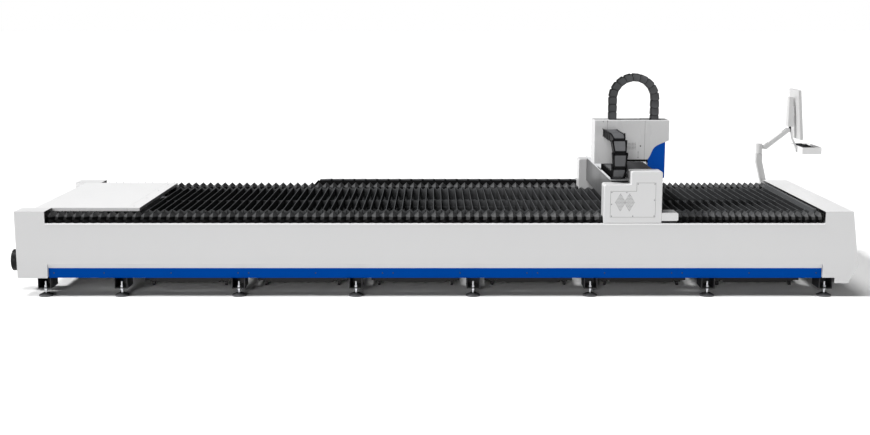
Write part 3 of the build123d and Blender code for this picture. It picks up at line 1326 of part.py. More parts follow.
# Vertical loop: up from the housing top, round, and down through the slot
loop_plane = Plane(
    origin=(LOOP_X - LOOP_RADIUS, LOOP_Y, LOOP_TOP - LOOP_THICKNESS / 2 - LOOP_RADIUS),
    x_dir=(0, 0, -1),
    z_dir=(0, 1, 0),
)
loop_chain = chain_links(
    loop_plane,
    LOOP_LINKS,
    LOOP_PITCH,
    LOOP_LEG,
    LOOP_RADIUS,
    LOOP_THICKNESS,
    LOOP_CHAMFER,
    LOOP_WIDTH,
)
write_piece(loop_chain, "loop_drag_chain")

# Long drag chain behind the bed, from the gantry arm to the left and back along its trough
long_radius = LONG_CHAIN_OUTER_RADIUS - LONG_CHAIN_THICKNESS / 2
long_plane = Plane(
    origin=(
        LONG_CHAIN_END_X - LONG_CHAIN_UPPER_RUN,
        (LONG_CHAIN_Y[0] + LONG_CHAIN_Y[1]) / 2,
        LONG_CHAIN_TOP - LONG_CHAIN_THICKNESS / 2,
    ),
    x_dir=(1, 0, 0),
    z_dir=(0, -1, 0),
)
long_chain = chain_links(
    long_plane,
    LONG_CHAIN_LINKS,
    LONG_CHAIN_PITCH,
    LONG_CHAIN_UPPER_RUN,
    long_radius,
    LONG_CHAIN_THICKNESS,
    LONG_CHAIN_CHAMFER,
    LONG_CHAIN_Y[1] - LONG_CHAIN_Y[0],
)
write_piece(long_chain, "long_drag_chain")

# Trough of the long chain, hung on the rear panel
trough_floor = LONG_CHAIN_TOP - 2 * LONG_CHAIN_OUTER_RADIUS - TROUGH_SHEET
trough_y = (BED_BACK, BED_BACK + TROUGH_WIDTH)
with BuildPart() as trough:
    block((TROUGH_LEFT, TROUGH_RIGHT), trough_y, (trough_floor - TROUGH_SHEET, trough_floor + TROUGH_DEPTH))
    hollow_y = (trough_y[0] + TROUGH_SHEET, trough_y[1] - TROUGH_SHEET)
    hollow_z = (trough_floor, trough_floor + TROUGH_DEPTH)
    block((TROUGH_LEFT, TROUGH_RIGHT), hollow_y, hollow_z, mode=Mode.SUBTRACT)
write_piece(trough, "chain_trough")

# Console post: leaning tube on a bracket behind the bed, with the swivel pin on top
post_half = POST_WIDTH / 2
post_y = (POST_Y - post_half, POST_Y + post_half)
with BuildPart() as console_post:
    lean = [
        (POST_FOOT_X - post_half, POST_FOOT_Z),
        (POST_KNEE_X - post_half, POST_KNEE_Z),
        (POST_KNEE_X - post_half, POST_TOP_Z),
        (POST_KNEE_X + post_half, POST_TOP_Z),
        (POST_KNEE_X + post_half, POST_KNEE_Z),
        (POST_FOOT_X + post_half, POST_FOOT_Z),
    ]
    prism_y(lean, post_y)
    fillet(console_post.faces().sort_by(Axis.Z)[-1].edges(), 6)
    bracket_x = (POST_FOOT_X - POST_BRACKET_WIDTH / 2, POST_FOOT_X + POST_BRACKET_WIDTH / 2)
    block(bracket_x, (BED_BACK, post_y[1]), (POST_FOOT_Z - BRACKET_PLATE, POST_FOOT_Z))
    back_z = (POST_BRACKET_BOTTOM, POST_FOOT_Z)
    block(bracket_x, (BED_BACK, BED_BACK + BRACKET_PLATE), back_z)
    gusset = [
        (BED_BACK + BRACKET_PLATE, POST_FOOT_Z - BRACKET_PLATE),
        (post_y[1], POST_FOOT_Z - BRACKET_PLATE),
        (BED_BACK + BRACKET_PLATE, POST_BRACKET_BOTTOM),
    ]
    prism_x(gusset, (POST_FOOT_X - BRACKET_PLATE / 2, POST_FOOT_X + BRACKET_PLATE / 2))
    post(POST_KNEE_X, POST_Y, SWIVEL_PIN_RADIUS, (POST_TOP_Z, POST_TOP_Z + SWIVEL_PIN_LENGTH))
write_piece(console_post, "console_post")

# Swivel block: drum on the post with the tongue that carries the arm
tongue_y = (POST_Y - TONGUE_WIDTH / 2, POST_Y + TONGUE_WIDTH / 2)
with BuildPart() as swivel_block:
    post(POST_KNEE_X, POST_Y, SWIVEL_RADIUS, (POST_TOP_Z + SWIVEL_GAP, SWIVEL_TOP))
    bore_z = (POST_TOP_Z, POST_TOP_Z + SWIVEL_PIN_LENGTH + SWIVEL_GAP)
    tongue_z = (ARM_FOOT_Z - TONGUE_RADIUS, ARM_FOOT_Z + TONGUE_RADIUS)
    block((POST_KNEE_X, ARM_FOOT_X), tongue_y, tongue_z)
    across(ARM_FOOT_X, ARM_FOOT_Z, TONGUE_RADIUS, tongue_y)
    across(ARM_FOOT_X, ARM_FOOT_Z, ARM_PIN_RADIUS + PIN_CLEARANCE, tongue_y, mode=Mode.SUBTRACT)
    post(POST_KNEE_X, POST_Y, SWIVEL_PIN_RADIUS + PIN_CLEARANCE, bore_z, mode=Mode.SUBTRACT)
write_piece(swivel_block, "swivel_block")

# Spring arm: tube forked at both ends, with its pins
arm_angle = math.degrees(math.atan2(ARM_HEAD_Z - ARM_FOOT_Z, ARM_HEAD_X - ARM_FOOT_X))
arm_length = math.hypot(ARM_HEAD_Z - ARM_FOOT_Z, ARM_HEAD_X - ARM_FOOT_X)
arm_plane = Plane(
    origin=(ARM_FOOT_X, POST_Y, ARM_FOOT_Z),
    x_dir=(math.cos(math.radians(arm_angle)), 0, math.sin(math.radians(arm_angle))),
    z_dir=(0, -1, 0),
)
with BuildPart() as spring_arm:
    with BuildSketch(arm_plane) as arm_side:
        with Locations((arm_length / 2, 0)):
            SlotCenterToCenter(arm_length, ARM_DEPTH)
    extrude(arm_side.sketch, amount=ARM_WIDTH / 2, both=True)
    pocket_half = TONGUE_WIDTH / 2 + FORK_GAP
    for centre in (0, arm_length):
        with BuildSketch(arm_plane) as pocket:
            with Locations((centre, 0)):
                Rectangle(2 * FORK_POCKET, ARM_DEPTH + FORK_GAP)
        extrude(pocket.sketch, amount=pocket_half, both=True, mode=Mode.SUBTRACT)
        with BuildSketch(arm_plane) as pin:
            with Locations((centre, 0)):
                Circle(ARM_PIN_RADIUS)
        extrude(pin.sketch, amount=ARM_WIDTH / 2, both=True)
write_piece(spring_arm, "spring_arm")

# Arm knuckle: tongue at the arm's upper end with the upright pin of the column
with BuildPart() as arm_knuckle:
    knuckle_z = (ARM_HEAD_Z - TONGUE_RADIUS, ARM_HEAD_Z + TONGUE_RADIUS)
    across(ARM_HEAD_X, ARM_HEAD_Z, TONGUE_RADIUS, tongue_y)
    block((ARM_HEAD_X, COLUMN_PIN_X), tongue_y, knuckle_z)
    post(COLUMN_PIN_X, POST_Y, COLUMN_PIN_RADIUS, (knuckle_z[0], COLUMN_Z[0] + COLUMN_PIN_LENGTH))
    across(ARM_HEAD_X, ARM_HEAD_Z, ARM_PIN_RADIUS + PIN_CLEARANCE, tongue_y, mode=Mode.SUBTRACT)
write_piece(arm_knuckle, "arm_knuckle")

# Console column: tall box with a slimmer head, fork for the monitor and bore for its pin
with BuildPart() as console_column:
    column_half = COLUMN_WIDTH / 2
    block(COLUMN_X, (POST_Y - column_half, POST_Y + column_half), COLUMN_Z)
    block(COLUMN_HEAD_X, (POST_Y - column_half + 6, POST_Y + column_half - 6), (COLUMN_Z[1], COLUMN_HEAD_TOP))
    pin_z = (COLUMN_Z[0], COLUMN_Z[0] + COLUMN_PIN_LENGTH + FACE_GAP)
    post(COLUMN_PIN_X, POST_Y, COLUMN_PIN_RADIUS + PIN_CLEARANCE, pin_z, mode=Mode.SUBTRACT)
    fork_half = HINGE_FORK_WIDTH / 2
    gap_half = HINGE_LUG_WIDTH / 2 + FORK_GAP
    for cheek in ((-fork_half, -gap_half), (gap_half, fork_half)):
        cheek_y = (POST_Y + cheek[0], POST_Y + cheek[1])
        cheek_z = (MONITOR_Z - HINGE_LUG_RADIUS, MONITOR_Z + HINGE_LUG_RADIUS)
        block((COLUMN_X[1], HINGE_X), cheek_y, cheek_z)
        across(HINGE_X, MONITOR_Z, HINGE_LUG_RADIUS, cheek_y)
        across(HINGE_X, MONITOR_Z, HINGE_RADIUS + PIN_CLEARANCE, cheek_y, mode=Mode.SUBTRACT)
write_piece(console_column, "console_column")

# Monitor: slim tilted case with its hinge lug and pin
tilt = math.radians(MONITOR_TILT)
monitor_plane = Plane(
    origin=(MONITOR_X, POST_Y, MONITOR_Z),
    x_dir=(0, 1, 0),
    z_dir=(math.cos(tilt), 0, math.sin(tilt)),
)
with BuildPart() as monitor:
    with BuildSketch(monitor_plane):
        RectangleRounded(MONITOR_WIDTH, MONITOR_HEIGHT, MONITOR_ROUND)
    extrude(amount=MONITOR_THICKNESS / 2, both=True)
    with BuildSketch(monitor_plane.offset(MONITOR_THICKNESS / 2)):
        Rectangle(MONITOR_WIDTH - 2 * SCREEN_BORDER, MONITOR_HEIGHT - 2 * SCREEN_BORDER)
    extrude(amount=-SCREEN_THICKNESS, mode=Mode.SUBTRACT)
    lug_half = HINGE_LUG_WIDTH / 2
    lug_y = (POST_Y - lug_half, POST_Y + lug_half)
    lug_z = (MONITOR_Z - HINGE_LUG_RADIUS, MONITOR_Z + HINGE_LUG_RADIUS)
    block((HINGE_X, MONITOR_X), lug_y, lug_z)
    across(HINGE_X, MONITOR_Z, HINGE_LUG_RADIUS, lug_y)
    pin_half = HINGE_FORK_WIDTH / 2
    across(HINGE_X, MONITOR_Z, HINGE_RADIUS, (POST_Y - pin_half, POST_Y + pin_half))
write_piece(monitor, "monitor")

# Screen pane, let into the face of the monitor
with BuildPart() as screen:
    with BuildSketch(monitor_plane.offset(MONITOR_THICKNESS / 2 - SCREEN_THICKNESS)):
        Rectangle(MONITOR_WIDTH - 2 * SCREEN_BORDER, MONITOR_HEIGHT - 2 * SCREEN_BORDER)
    extrude(amount=SCREEN_THICKNESS)
write_piece(screen, "monitor_screen")

# Keyboard tray with its diagonal bracket, fixed to the foot of the column
tray_x = (TRAY_RIGHT - TRAY_LENGTH_X, TRAY_RIGHT)
tray_y = (TRAY_BACK - TRAY_WIDTH_Y, TRAY_BACK)
with BuildPart() as keyboard_tray:
    block(tray_x, tray_y, (TRAY_BOTTOM, TRAY_TOP))
    hollow_x = (tray_x[0] + TRAY_WALL, tray_x[1] - TRAY_WALL)
    hollow_y = (tray_y[0] + TRAY_WALL, tray_y[1] - TRAY_WALL)
    desk = TRAY_TOP - TRAY_DEPTH
    block(hollow_x, hollow_y, (desk, TRAY_TOP), mode=Mode.SUBTRACT)
    block(hollow_x, hollow_y, (TRAY_BOTTOM, desk - TRAY_WALL), mode=Mode.SUBTRACT)
    knee_z = MONITOR_Z - MONITOR_HEIGHT / 2
    bracket = [
        (COLUMN_PIN_X, COLUMN_Z[0]),
        (COLUMN_PIN_X + TRAY_BRACKET_WIDTH, COLUMN_Z[0]),
        (TRAY_KNEE_X + TRAY_BRACKET_WIDTH, knee_z),
        (tray_x[0], TRAY_TOP),
        (tray_x[0], TRAY_TOP - 2 * TRAY_BRACKET_WIDTH),
        (TRAY_KNEE_X, knee_z),
    ]
    bracket_y = (POST_Y + COLUMN_WIDTH / 2 - COLUMN_PLATE, POST_Y + COLUMN_WIDTH / 2)
    prism_y(bracket, bracket_y)
write_piece(keyboard_tray, "keyboard_tray")

# Keyboard and mouse, lying in the tray
with BuildPart() as keyboard:
    key_x = (hollow_x[0] + DESK_GAP, hollow_x[0] + DESK_GAP + KEYBOARD_SIZE[0])
    key_y = (hollow_y[0] + DESK_GAP, hollow_y[0] + DESK_GAP + KEYBOARD_SIZE[1])
    block(key_x, key_y, (desk, desk + KEYBOARD_SIZE[2]))
    chamfer(keyboard.faces().sort_by(Axis.Z)[-1].edges(), KEYBOARD_EDGE)
    mouse_x = (hollow_x[0] + DESK_GAP, hollow_x[0] + DESK_GAP + MOUSE_SIZE[0])
    mouse_y = (key_y[1] + 2 * DESK_GAP, key_y[1] + 2 * DESK_GAP + MOUSE_SIZE[1])
    with BuildSketch(Plane.XY.offset(desk)):
        with Locations(((mouse_x[0] + mouse_x[1]) / 2, (mouse_y[0] + mouse_y[1]) / 2)):
            RectangleRounded(MOUSE_SIZE[0], MOUSE_SIZE[1], MOUSE_ROUND)
    extrude(amount=MOUSE_SIZE[2])
    fillet(keyboard.faces().sort_by(Axis.Z)[-1].edges(), MOUSE_CROWN)
write_piece(keyboard, "keyboard")
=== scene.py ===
import math

import bpy
from mathutils import Matrix, Vector


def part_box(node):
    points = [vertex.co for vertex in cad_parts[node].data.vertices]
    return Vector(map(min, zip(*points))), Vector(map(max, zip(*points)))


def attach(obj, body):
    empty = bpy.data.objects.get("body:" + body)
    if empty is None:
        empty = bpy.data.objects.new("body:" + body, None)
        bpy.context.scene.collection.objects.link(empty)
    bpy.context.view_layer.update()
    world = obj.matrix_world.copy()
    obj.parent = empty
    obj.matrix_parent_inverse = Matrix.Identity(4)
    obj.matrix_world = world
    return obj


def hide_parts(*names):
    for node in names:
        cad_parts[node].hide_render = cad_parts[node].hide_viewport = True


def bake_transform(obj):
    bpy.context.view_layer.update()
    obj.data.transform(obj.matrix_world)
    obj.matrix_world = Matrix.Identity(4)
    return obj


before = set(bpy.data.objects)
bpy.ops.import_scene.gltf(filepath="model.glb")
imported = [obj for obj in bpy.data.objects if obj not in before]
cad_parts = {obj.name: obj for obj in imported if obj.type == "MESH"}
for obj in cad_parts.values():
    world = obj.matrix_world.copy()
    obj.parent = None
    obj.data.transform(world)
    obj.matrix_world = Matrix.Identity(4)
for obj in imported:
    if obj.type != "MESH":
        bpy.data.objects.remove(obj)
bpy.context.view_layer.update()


# Levelling feet: turned steel pads on moulded rubber, threaded studs with jam nuts, and short box
# brackets of black coated plate welded under the side beams. Stud and nuts are bare zinc.

PAD_GREY = (0.010, 0.010, 0.011)
# Painted highlight: the lighter grey of the pad's rim band, also used for its scuffs.
PAINTED_RIM_HIGHLIGHT_AND_SCUFF_GREY = (0.42, 0.43, 0.45)
BRACKET_BLACK = (0.010, 0.010, 0.011)
ZINC = (0.62, 0.63, 0.65)


class Wire:
    """One socket of a finish, used in sums as a plain number is."""

    def __init__(self, tree, socket=None):
        self.tree = tree
        self.socket = socket

    def add(self, kind, settings=None, sockets=None, output=0):
        """A new node: its settings first, then the values or links of its sockets."""
        node = self.tree.nodes.new(kind)
        for name, value in (settings or {}).items():
            if name == "stops":
                stops = node.color_ramp.elements
                while len(stops) < len(value):
                    stops.new(0.5)
                for stop, (position, shade) in zip(stops, value):
                    stop.position = position
                    stop.color = shade
            else:
                setattr(node, name, value)
        for name, value in (sockets or {}).items():
            if isinstance(value, Wire):
                self.tree.links.new(value.socket, node.inputs[name])
            else:
                node.inputs[name].default_value = value
        return Wire(self.tree, node.outputs[output])

    def maths(self, operation, first, second=0.0, clamp=False):
        settings = {"operation": operation, "use_clamp": clamp}
        return self.add("ShaderNodeMath", settings, {0: first, 1: second})

    def __add__(self, other):
        return self.maths("ADD", self, other)

    def __sub__(self, other):
        return self.maths("SUBTRACT", self, other)

    def __rsub__(self, other):
        return self.maths("SUBTRACT", other, self)

    def __mul__(self, other):
        return self.maths("MULTIPLY", self, other)

    def __gt__(self, other):
        return self.maths("GREATER_THAN", self, other)

    def __lt__(self, other):
        return self.maths("LESS_THAN", self, other)

    __radd__ = __add__
    __rmul__ = __mul__

    def limited(self):
        """The same value, held between 0 and 1."""
        return self.maths("ADD", self, 0.0, clamp=True)

    def between(self, low, high):
        """A colour from low to high, with this value as the share of high."""
        sockets = {0: self.limited(), 6: low, 7: high}
        return self.add("ShaderNodeMix", {"data_type": "RGBA"}, sockets, output=2)

    def noise(self, scale, detail=2.0, stretch=(1, 1, 1)):
        """Cloudy value at this place, stretched along the axes."""
        place = self.add("ShaderNodeMapping", None, {"Vector": self, "Scale": stretch})
        return self.add("ShaderNodeTexNoise", None, {"Vector": place, "Scale": scale, "Detail": detail})


def new_finish(name, colour, roughness, metallic=0.0, coat=0.0, specular=0.5):
    """A finish with one shader, its even values set on the shader's own sockets."""
    finish = bpy.data.materials.new(name)
    finish.use_nodes = True
    shader = finish.node_tree.nodes["Principled BSDF"]
    shader.inputs["Base Color"].default_value = (*colour, 1)
    shader.inputs["Roughness"].default_value = roughness
    shader.inputs["Metallic"].default_value = metallic
    shader.inputs["Coat Weight"].default_value = coat
    shader.inputs["Specular IOR Level"].default_value = specular
    return finish, shader, Wire(finish.node_tree)


def join_up(shader, **links):
    """Link what varies over the surface to the shader."""
    tree = shader.id_data
    for name, wire in links.items():
        tree.links.new(wire.socket, shader.inputs[name.replace("_", " ")])


def grain(wire, place, scale, depth, strength=0.3):
    """Fine relief over the whole surface, such as orange peel or a moulded grain."""
    height = place.noise(scale, 2.0)
    relief = {"Strength": strength, "Distance": depth, "Height": height}
    return wire.add("ShaderNodeBump", None, relief, "Normal")


def moulded(name, colour, roughness, scale=600.0, depth=0.0002, specular=0.12):
    """Moulded rubber or plastic: fine grain, dusty and a little uneven in tone."""
    finish, shader, wire = new_finish(name, colour, roughness, specular=specular)
    place = wire.add("ShaderNodeTexCoord", output="Object")
    cloud = place.noise(9.0, 4.0)
    pale = [min(1.0, 1.5 * c + 0.003) for c in colour]
    tone = cloud.between((*colour, 1), (*pale, 1))
    join_up(shader, Base_Color=tone, Roughness=cloud * 0.18 + (roughness - 0.09))
    join_up(shader, Normal=grain(wire, place, scale, depth))
    return finish


def bare_metal(name, colour, roughness, along=(1, 1, 1), stain=0.25):
    """Bare or plated steel: fine drawn lines along the piece and cloudy stains."""
    finish, shader, wire = new_finish(name, colour, roughness, metallic=1.0)
    place = wire.add("ShaderNodeTexCoord", output="Object")
    lines = place.noise(60.0, 3.0, along)
    cloud = place.noise(5.0, 4.0)
    dull = [c * (1 - stain) for c in colour]
    tone = (cloud * 1.6 - 0.3).between((*dull, 1), (*colour, 1))
    join_up(shader, Base_Color=tone, Roughness=lines * 0.3 + (roughness - 0.12))
    relief = {"Strength": 0.12, "Distance": 0.0002, "Height": lines}
    join_up(shader, Normal=wire.add("ShaderNodeBump", None, relief, "Normal"))
    return finish


def powder_coat(name, colour, roughness=0.36, mottle=0.05, dust=0.10, dust_top=0.30, specular=0.35):
    """Powder coat: faint orange peel, soft unevenness, and dust that gathers towards the floor."""
    finish, shader, wire = new_finish(name, colour, roughness, coat=0.1 * specular, specular=specular)
    place = wire.add("ShaderNodeTexCoord", output="Object")
    cloud = place.noise(1.3, 4.0)
    smudge = place.noise(7.0, 5.0, (1, 1, 0.35))
    height = wire.add("ShaderNodeSeparateXYZ", None, {0: place}, "Z")
    low = ((dust_top - height) * (1 / dust_top)).limited()
    worn = cloud * mottle + smudge * (mottle * 0.7) + low * dust
    dark = [c * 0.55 for c in colour]
    tone = worn.between((*colour, 1), (*dark, 1))
    join_up(shader, Base_Color=tone, Roughness=smudge * 0.14 + (roughness - 0.07))
    join_up(shader, Normal=grain(wire, place, 420.0, 0.00025, 0.2))
    return finish


def dress(finish, *nodes):
    """Give carried-over solids their finish."""
    for node in nodes:
        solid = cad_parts[node]
        solid.data.materials.clear()
        solid.data.materials.append(finish)


def foot_finish():
    """Black rubber pad with random lighter scuffs, and a painted highlight: a lighter band round the rim
    and hub at one height.
    """
    finish, shader, wire = new_finish("pad_rubber_scuffed_painted_rim_highlight", PAD_GREY, 0.55)
    place = wire.add("ShaderNodeTexCoord", output="Object")
    height = wire.add("ShaderNodeSeparateXYZ", None, {0: place}, "Z")
    # Painted highlight: this band of heights is coloured lighter to stand for the bright ring of light on
    # the glossy pad.
    painted_rim_highlight = (height > 0.0105) * (height < 0.0128)
    scuff = place.noise(30.0, 4.0)
    tone = (painted_rim_highlight * 0.8 * scuff + scuff * 0.08).between((*PAD_GREY, 1), (*PAINTED_RIM_HIGHLIGHT_AND_SCUFF_GREY, 1))
    join_up(shader, Base_Color=tone, Roughness=scuff * 0.25 + 0.42)
    join_up(shader, Normal=grain(wire, place, 500.0, 0.0003))
    return finish


zinc = bare_metal("zinc_plate", ZINC, 0.34, stain=0.2)
black_coat = powder_coat("bracket_black", BRACKET_BLACK, 0.42, dust=0.05, dust_top=0.2)
dress(foot_finish(), "foot_pads")
dress(zinc, "foot_studs")
dress(black_coat, "foot_brackets")


# Welded bed frame: long box tubes, cross tubes and the slag chutes between them. Rolled steel in grey
# primer, stained brown by slag where the chutes lead it down to the carts.

PRIMER = (0.075, 0.078, 0.084)
SLAG_BROWN = (0.022, 0.020, 0.018)


def primed_steel():
    """Grey primer with slag stains that run downwards."""
    finish, shader, wire = new_finish("primed_tube", PRIMER, 0.55)
    place = wire.add("ShaderNodeTexCoord", output="Object")
    runs = place.noise(14.0, 5.0, (1, 1, 0.25))
    tone = (runs * 2.2 - 0.8).between((*PRIMER, 1), (*SLAG_BROWN, 1))
    join_up(shader, Base_Color=tone, Roughness=runs * 0.3 + 0.42)
    join_up(shader, Normal=grain(wire, place, 90.0, 0.0006))
    return finish


primer = primed_steel()
dress(primer, "side_beams", "cross_members", "chutes", "carriages")


# Guide rails and racks: ground steel bars bolted to the side beams and to the gantry beam, kept oiled
# under the bellows.

RAIL_STEEL = (0.60, 0.61, 0.63)

ground_steel = bare_metal("ground_steel", RAIL_STEEL, 0.22, along=(0.05, 1, 1), stain=0.3)
dress(ground_steel, "guide_rails", "beam_rails", "ball_screw")
dress(ground_steel, "front_pinion", "rear_pinion", "head_pinion")


# Side panels and end housings: folded steel sheet in light grey-white powder coat, with a recess low
# down that holds the deep blue kick strip, which is screwed on in lengths. The panel's upper edge is
# rolled outwards into a small lip under the bellows; the lip takes the lighter end housing coat as a
# painted highlight along the panel's top edge.

PANEL_WHITE = (0.560, 0.560, 0.562)
END_WHITE = (0.700, 0.700, 0.702)
STRIP_BLUE = (0.0005, 0.054, 0.305)
SCREW_GREY = (0.055, 0.060, 0.075)
LIP_ENDS = (-4.033, 3.867)
LIP_RADIUS = 0.007
LIP_SIDES = 16
LIP_DROP = 0.0095
LIP_FLATNESS = 0.45

def fresh(piece, finish):
    """A new shape with its place and sizes applied and its finish on."""
    bpy.ops.object.transform_apply(location=True, rotation=True, scale=True)
    piece.data.materials.clear()
    piece.data.materials.append(finish)
    return piece


def unite(pieces):
    """Several shapes joined into the first of them."""
    bpy.ops.object.select_all(action="DESELECT")
    for piece in pieces:
        piece.select_set(True)
    bpy.context.view_layer.objects.active = pieces[0]
    bpy.ops.object.join()
    return pieces[0]


def settle(piece, name, finish, body):
    """Name a finished piece, give it its finish, and put it on its body."""
    piece.name = name
    piece.data.name = name
    piece.data.materials.clear()
    piece.data.materials.append(finish)
    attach(piece, body)
    return piece


panel_white = powder_coat("panel_white", PANEL_WHITE, 0.34, mottle=0.04, dust=0.16, dust_top=0.45)
end_white = powder_coat("end_white", END_WHITE, 0.34, mottle=0.03, dust=0.10, dust_top=0.45)
strip_blue = powder_coat("strip_blue", STRIP_BLUE, 0.5, mottle=0.15, dust=0.1, specular=0.0)
screw_grey = bare_metal("screw_grey", SCREW_GREY, 0.40)
dress(panel_white, "front_panel", "rear_panel")
dress(end_white, "left_end_housing", "right_end_housing")
dress(strip_blue, "kick_strips")
dress(screw_grey, "strip_screws")

# Painted highlight: the lips take the lighter end_white coat rather than the panel's own panel_white, so
# a bright line shows along the panel's top edge.
lip_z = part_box("front_left_bellows")[0].z - LIP_DROP
lip_place = sum(LIP_ENDS) / 2
lips = []
for y in (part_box("front_panel")[0].y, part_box("rear_panel")[1].y):
    bpy.ops.object.select_all(action="DESELECT")
    bpy.ops.mesh.primitive_cylinder_add(
        vertices=LIP_SIDES,
        radius=LIP_RADIUS,
        depth=LIP_ENDS[1] - LIP_ENDS[0],
        location=(lip_place, y, lip_z),
        rotation=(0, math.pi / 2, 0),
    )
    lip = fresh(bpy.context.object, end_white)
    for vertex in lip.data.vertices:
        vertex.co.y = y + (vertex.co.y - y) * LIP_FLATNESS
    lips.append(lip)
settle(unite(lips), "panel_lips", end_white, "bed")


# Left cover: two folded sheets that close the bed before the first slat, the narrow one held by a row
# of low socket screws.

COVER_WHITE = (0.790, 0.790, 0.792)
COVER_SCREWS = (-0.9785, -0.4215, 0.1455, 0.640)
COVER_SCREW_X = -3.210
COVER_SCREW_RADIUS = 0.009
COVER_SCREW_HEIGHT = 0.0015
SCREW_SIDES = 18
CROWN_SHARE = 0.18
CROWN_RISE = 0.25
RIM_SHARE = 0.32
SOCKET_TAPER = 0.02
SOCKET_DEPTH = 0.6


def choose_top(piece):
    """Select only the faces of a shape that look straight up."""
    bpy.ops.object.mode_set(mode="EDIT")
    bpy.ops.mesh.select_mode(type="FACE")
    bpy.ops.mesh.select_all(action="DESELECT")
    bpy.ops.object.mode_set(mode="OBJECT")
    for face in piece.data.polygons:
        face.select = face.normal.z > 0.9


def screw_head(radius, height):
    """Socket screw head standing on the origin along +Z, with a round recess."""
    bpy.ops.object.select_all(action="DESELECT")
    bpy.ops.mesh.primitive_cylinder_add(
        vertices=SCREW_SIDES, radius=radius, depth=height, location=(0, 0, height / 2)
    )
    head = bpy.context.object
    bpy.ops.object.transform_apply(location=True, rotation=True, scale=True)
    choose_top(head)
    bpy.ops.object.mode_set(mode="EDIT")
    bpy.ops.mesh.inset(thickness=radius * CROWN_SHARE, depth=height * CROWN_RISE)
    bpy.ops.mesh.inset(thickness=radius * RIM_SHARE, depth=0)
    bpy.ops.mesh.inset(thickness=radius * SOCKET_TAPER, depth=-height * SOCKET_DEPTH)
    bpy.ops.object.mode_set(mode="OBJECT")
    return head


def set_out(source, matrices):
    """Copies of a finished shape at their places, joined into one piece."""
    made = []
    for matrix in matrices:
        mesh = source.data.copy()
        mesh.transform(matrix)
        copy = bpy.data.objects.new(source.name, mesh)
        bpy.context.scene.collection.objects.link(copy)
        made.append(copy)
    bpy.data.objects.remove(source, do_unlink=True)
    bpy.ops.object.select_all(action="DESELECT")
    for copy in made:
        copy.select_set(True)
    bpy.context.view_layer.objects.active = made[0]
    if len(made) > 1:
        bpy.ops.object.join()
    return made[0]


cover_white = powder_coat("cover_white", COVER_WHITE, 0.32, mottle=0.05, dust=0.0)
dress(cover_white, "left_cover")
cover_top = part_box("left_cover")[1].z
head = screw_head(COVER_SCREW_RADIUS, COVER_SCREW_HEIGHT)
places = [Matrix.Translation((COVER_SCREW_X, y, cover_top)) for y in COVER_SCREWS]
settle(set_out(head, places), "cover_screws", zinc, "bed")


# Slats: flame-cut strips of plate standing on edge, dark with scale, their top edges scraped a little
# lighter by the sheets that lie on them. Toothed holder bars carry them at both ends and in the middle.

SLAT_DARK = (0.0120, 0.0124, 0.0130)
SLAT_SCALE = (0.0260, 0.0266, 0.0280)
SLAT_EDGE = (0.105, 0.108, 0.112)
SLAT_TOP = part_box("slats")[1].z
SCRAPED_DEPTH = 0.004
SCRAPED_FADE = 300.0
HOLDER_GREY = (0.095, 0.098, 0.102)


def slat_finish():
    """Scaled plate with heat stains, lighter along its top edge."""
    finish, shader, wire = new_finish("slat_scale", SLAT_DARK, 0.6, specular=0.3)
    place = wire.add("ShaderNodeTexCoord", output="Object")
    stains = place.noise(22.0, 5.0, (1, 1, 2.0))
    spatter = place.noise(160.0, 3.0)
    height = wire.add("ShaderNodeSeparateXYZ", None, {0: place}, "Z")
    edge = ((height - (SLAT_TOP - SCRAPED_DEPTH)) * SCRAPED_FADE).limited() * (spatter * 1.2 + 0.1)
    scale_tone = (stains * 1.8 - 0.4).between((*SLAT_DARK, 1), (*SLAT_SCALE, 1))
    tone = edge.between(scale_tone, (*SLAT_EDGE, 1))
    relief = {"Strength": 0.5, "Distance": 0.0008, "Height": spatter}
    join_up(shader, Base_Color=tone, Roughness=stains * 0.3 + 0.4)
    join_up(shader, Normal=wire.add("ShaderNodeBump", None, relief, "Normal"))
    return finish


holder_grey = powder_coat("holder_grey", HOLDER_GREY, 0.45, mottle=0.35, dust=0.0)
dress(slat_finish(), "slats")
dress(holder_grey, "slat_holders")


# Rail bellows: pleated coated cloth in accordion folds over both rails, left and right of the gantry.
# The outer fold edges are pressed and stand as crests; the cloth is black with a dull gloss.

BELLOWS_BLACK = (0.0016, 0.0016, 0.0018)
# Painted highlight: the top of the rail folds is coloured this lighter grey down to a depth, for the
# light on the crests.
BELLOWS_PAINTED_HIGHLIGHT = (0.0620, 0.0625, 0.0640)
BELLOWS_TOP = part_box("front_left_bellows")[1].z
PAINTED_HIGHLIGHT_DEPTH = 0.042
PAINTED_HIGHLIGHT_FADE = 250.0
BED_SIDE_ENDS = {
    "front_left_bellows": 0,
    "rear_left_bellows": 0,
    "front_right_bellows": 1,
    "rear_right_bellows": 1,
}


def worked_copy(node, name):
    """A copy of a carried-over solid with its corners joined up, to be worked on as a piece."""
    copy = bpy.data.objects.new(name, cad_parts[node].data.copy())
    bpy.context.scene.collection.objects.link(copy)
    copy.data.name = name
    copy.data.materials.clear()
    bpy.ops.object.select_all(action="DESELECT")
    copy.select_set(True)
    bpy.context.view_layer.objects.active = copy
    bpy.ops.object.mode_set(mode="EDIT")
    bpy.ops.mesh.select_all(action="SELECT")
    bpy.ops.mesh.remove_doubles(threshold=0.00002)
    bpy.ops.mesh.dissolve_limited(angle_limit=math.radians(0.5))
    bpy.ops.object.mode_set(mode="OBJECT")
    return copy


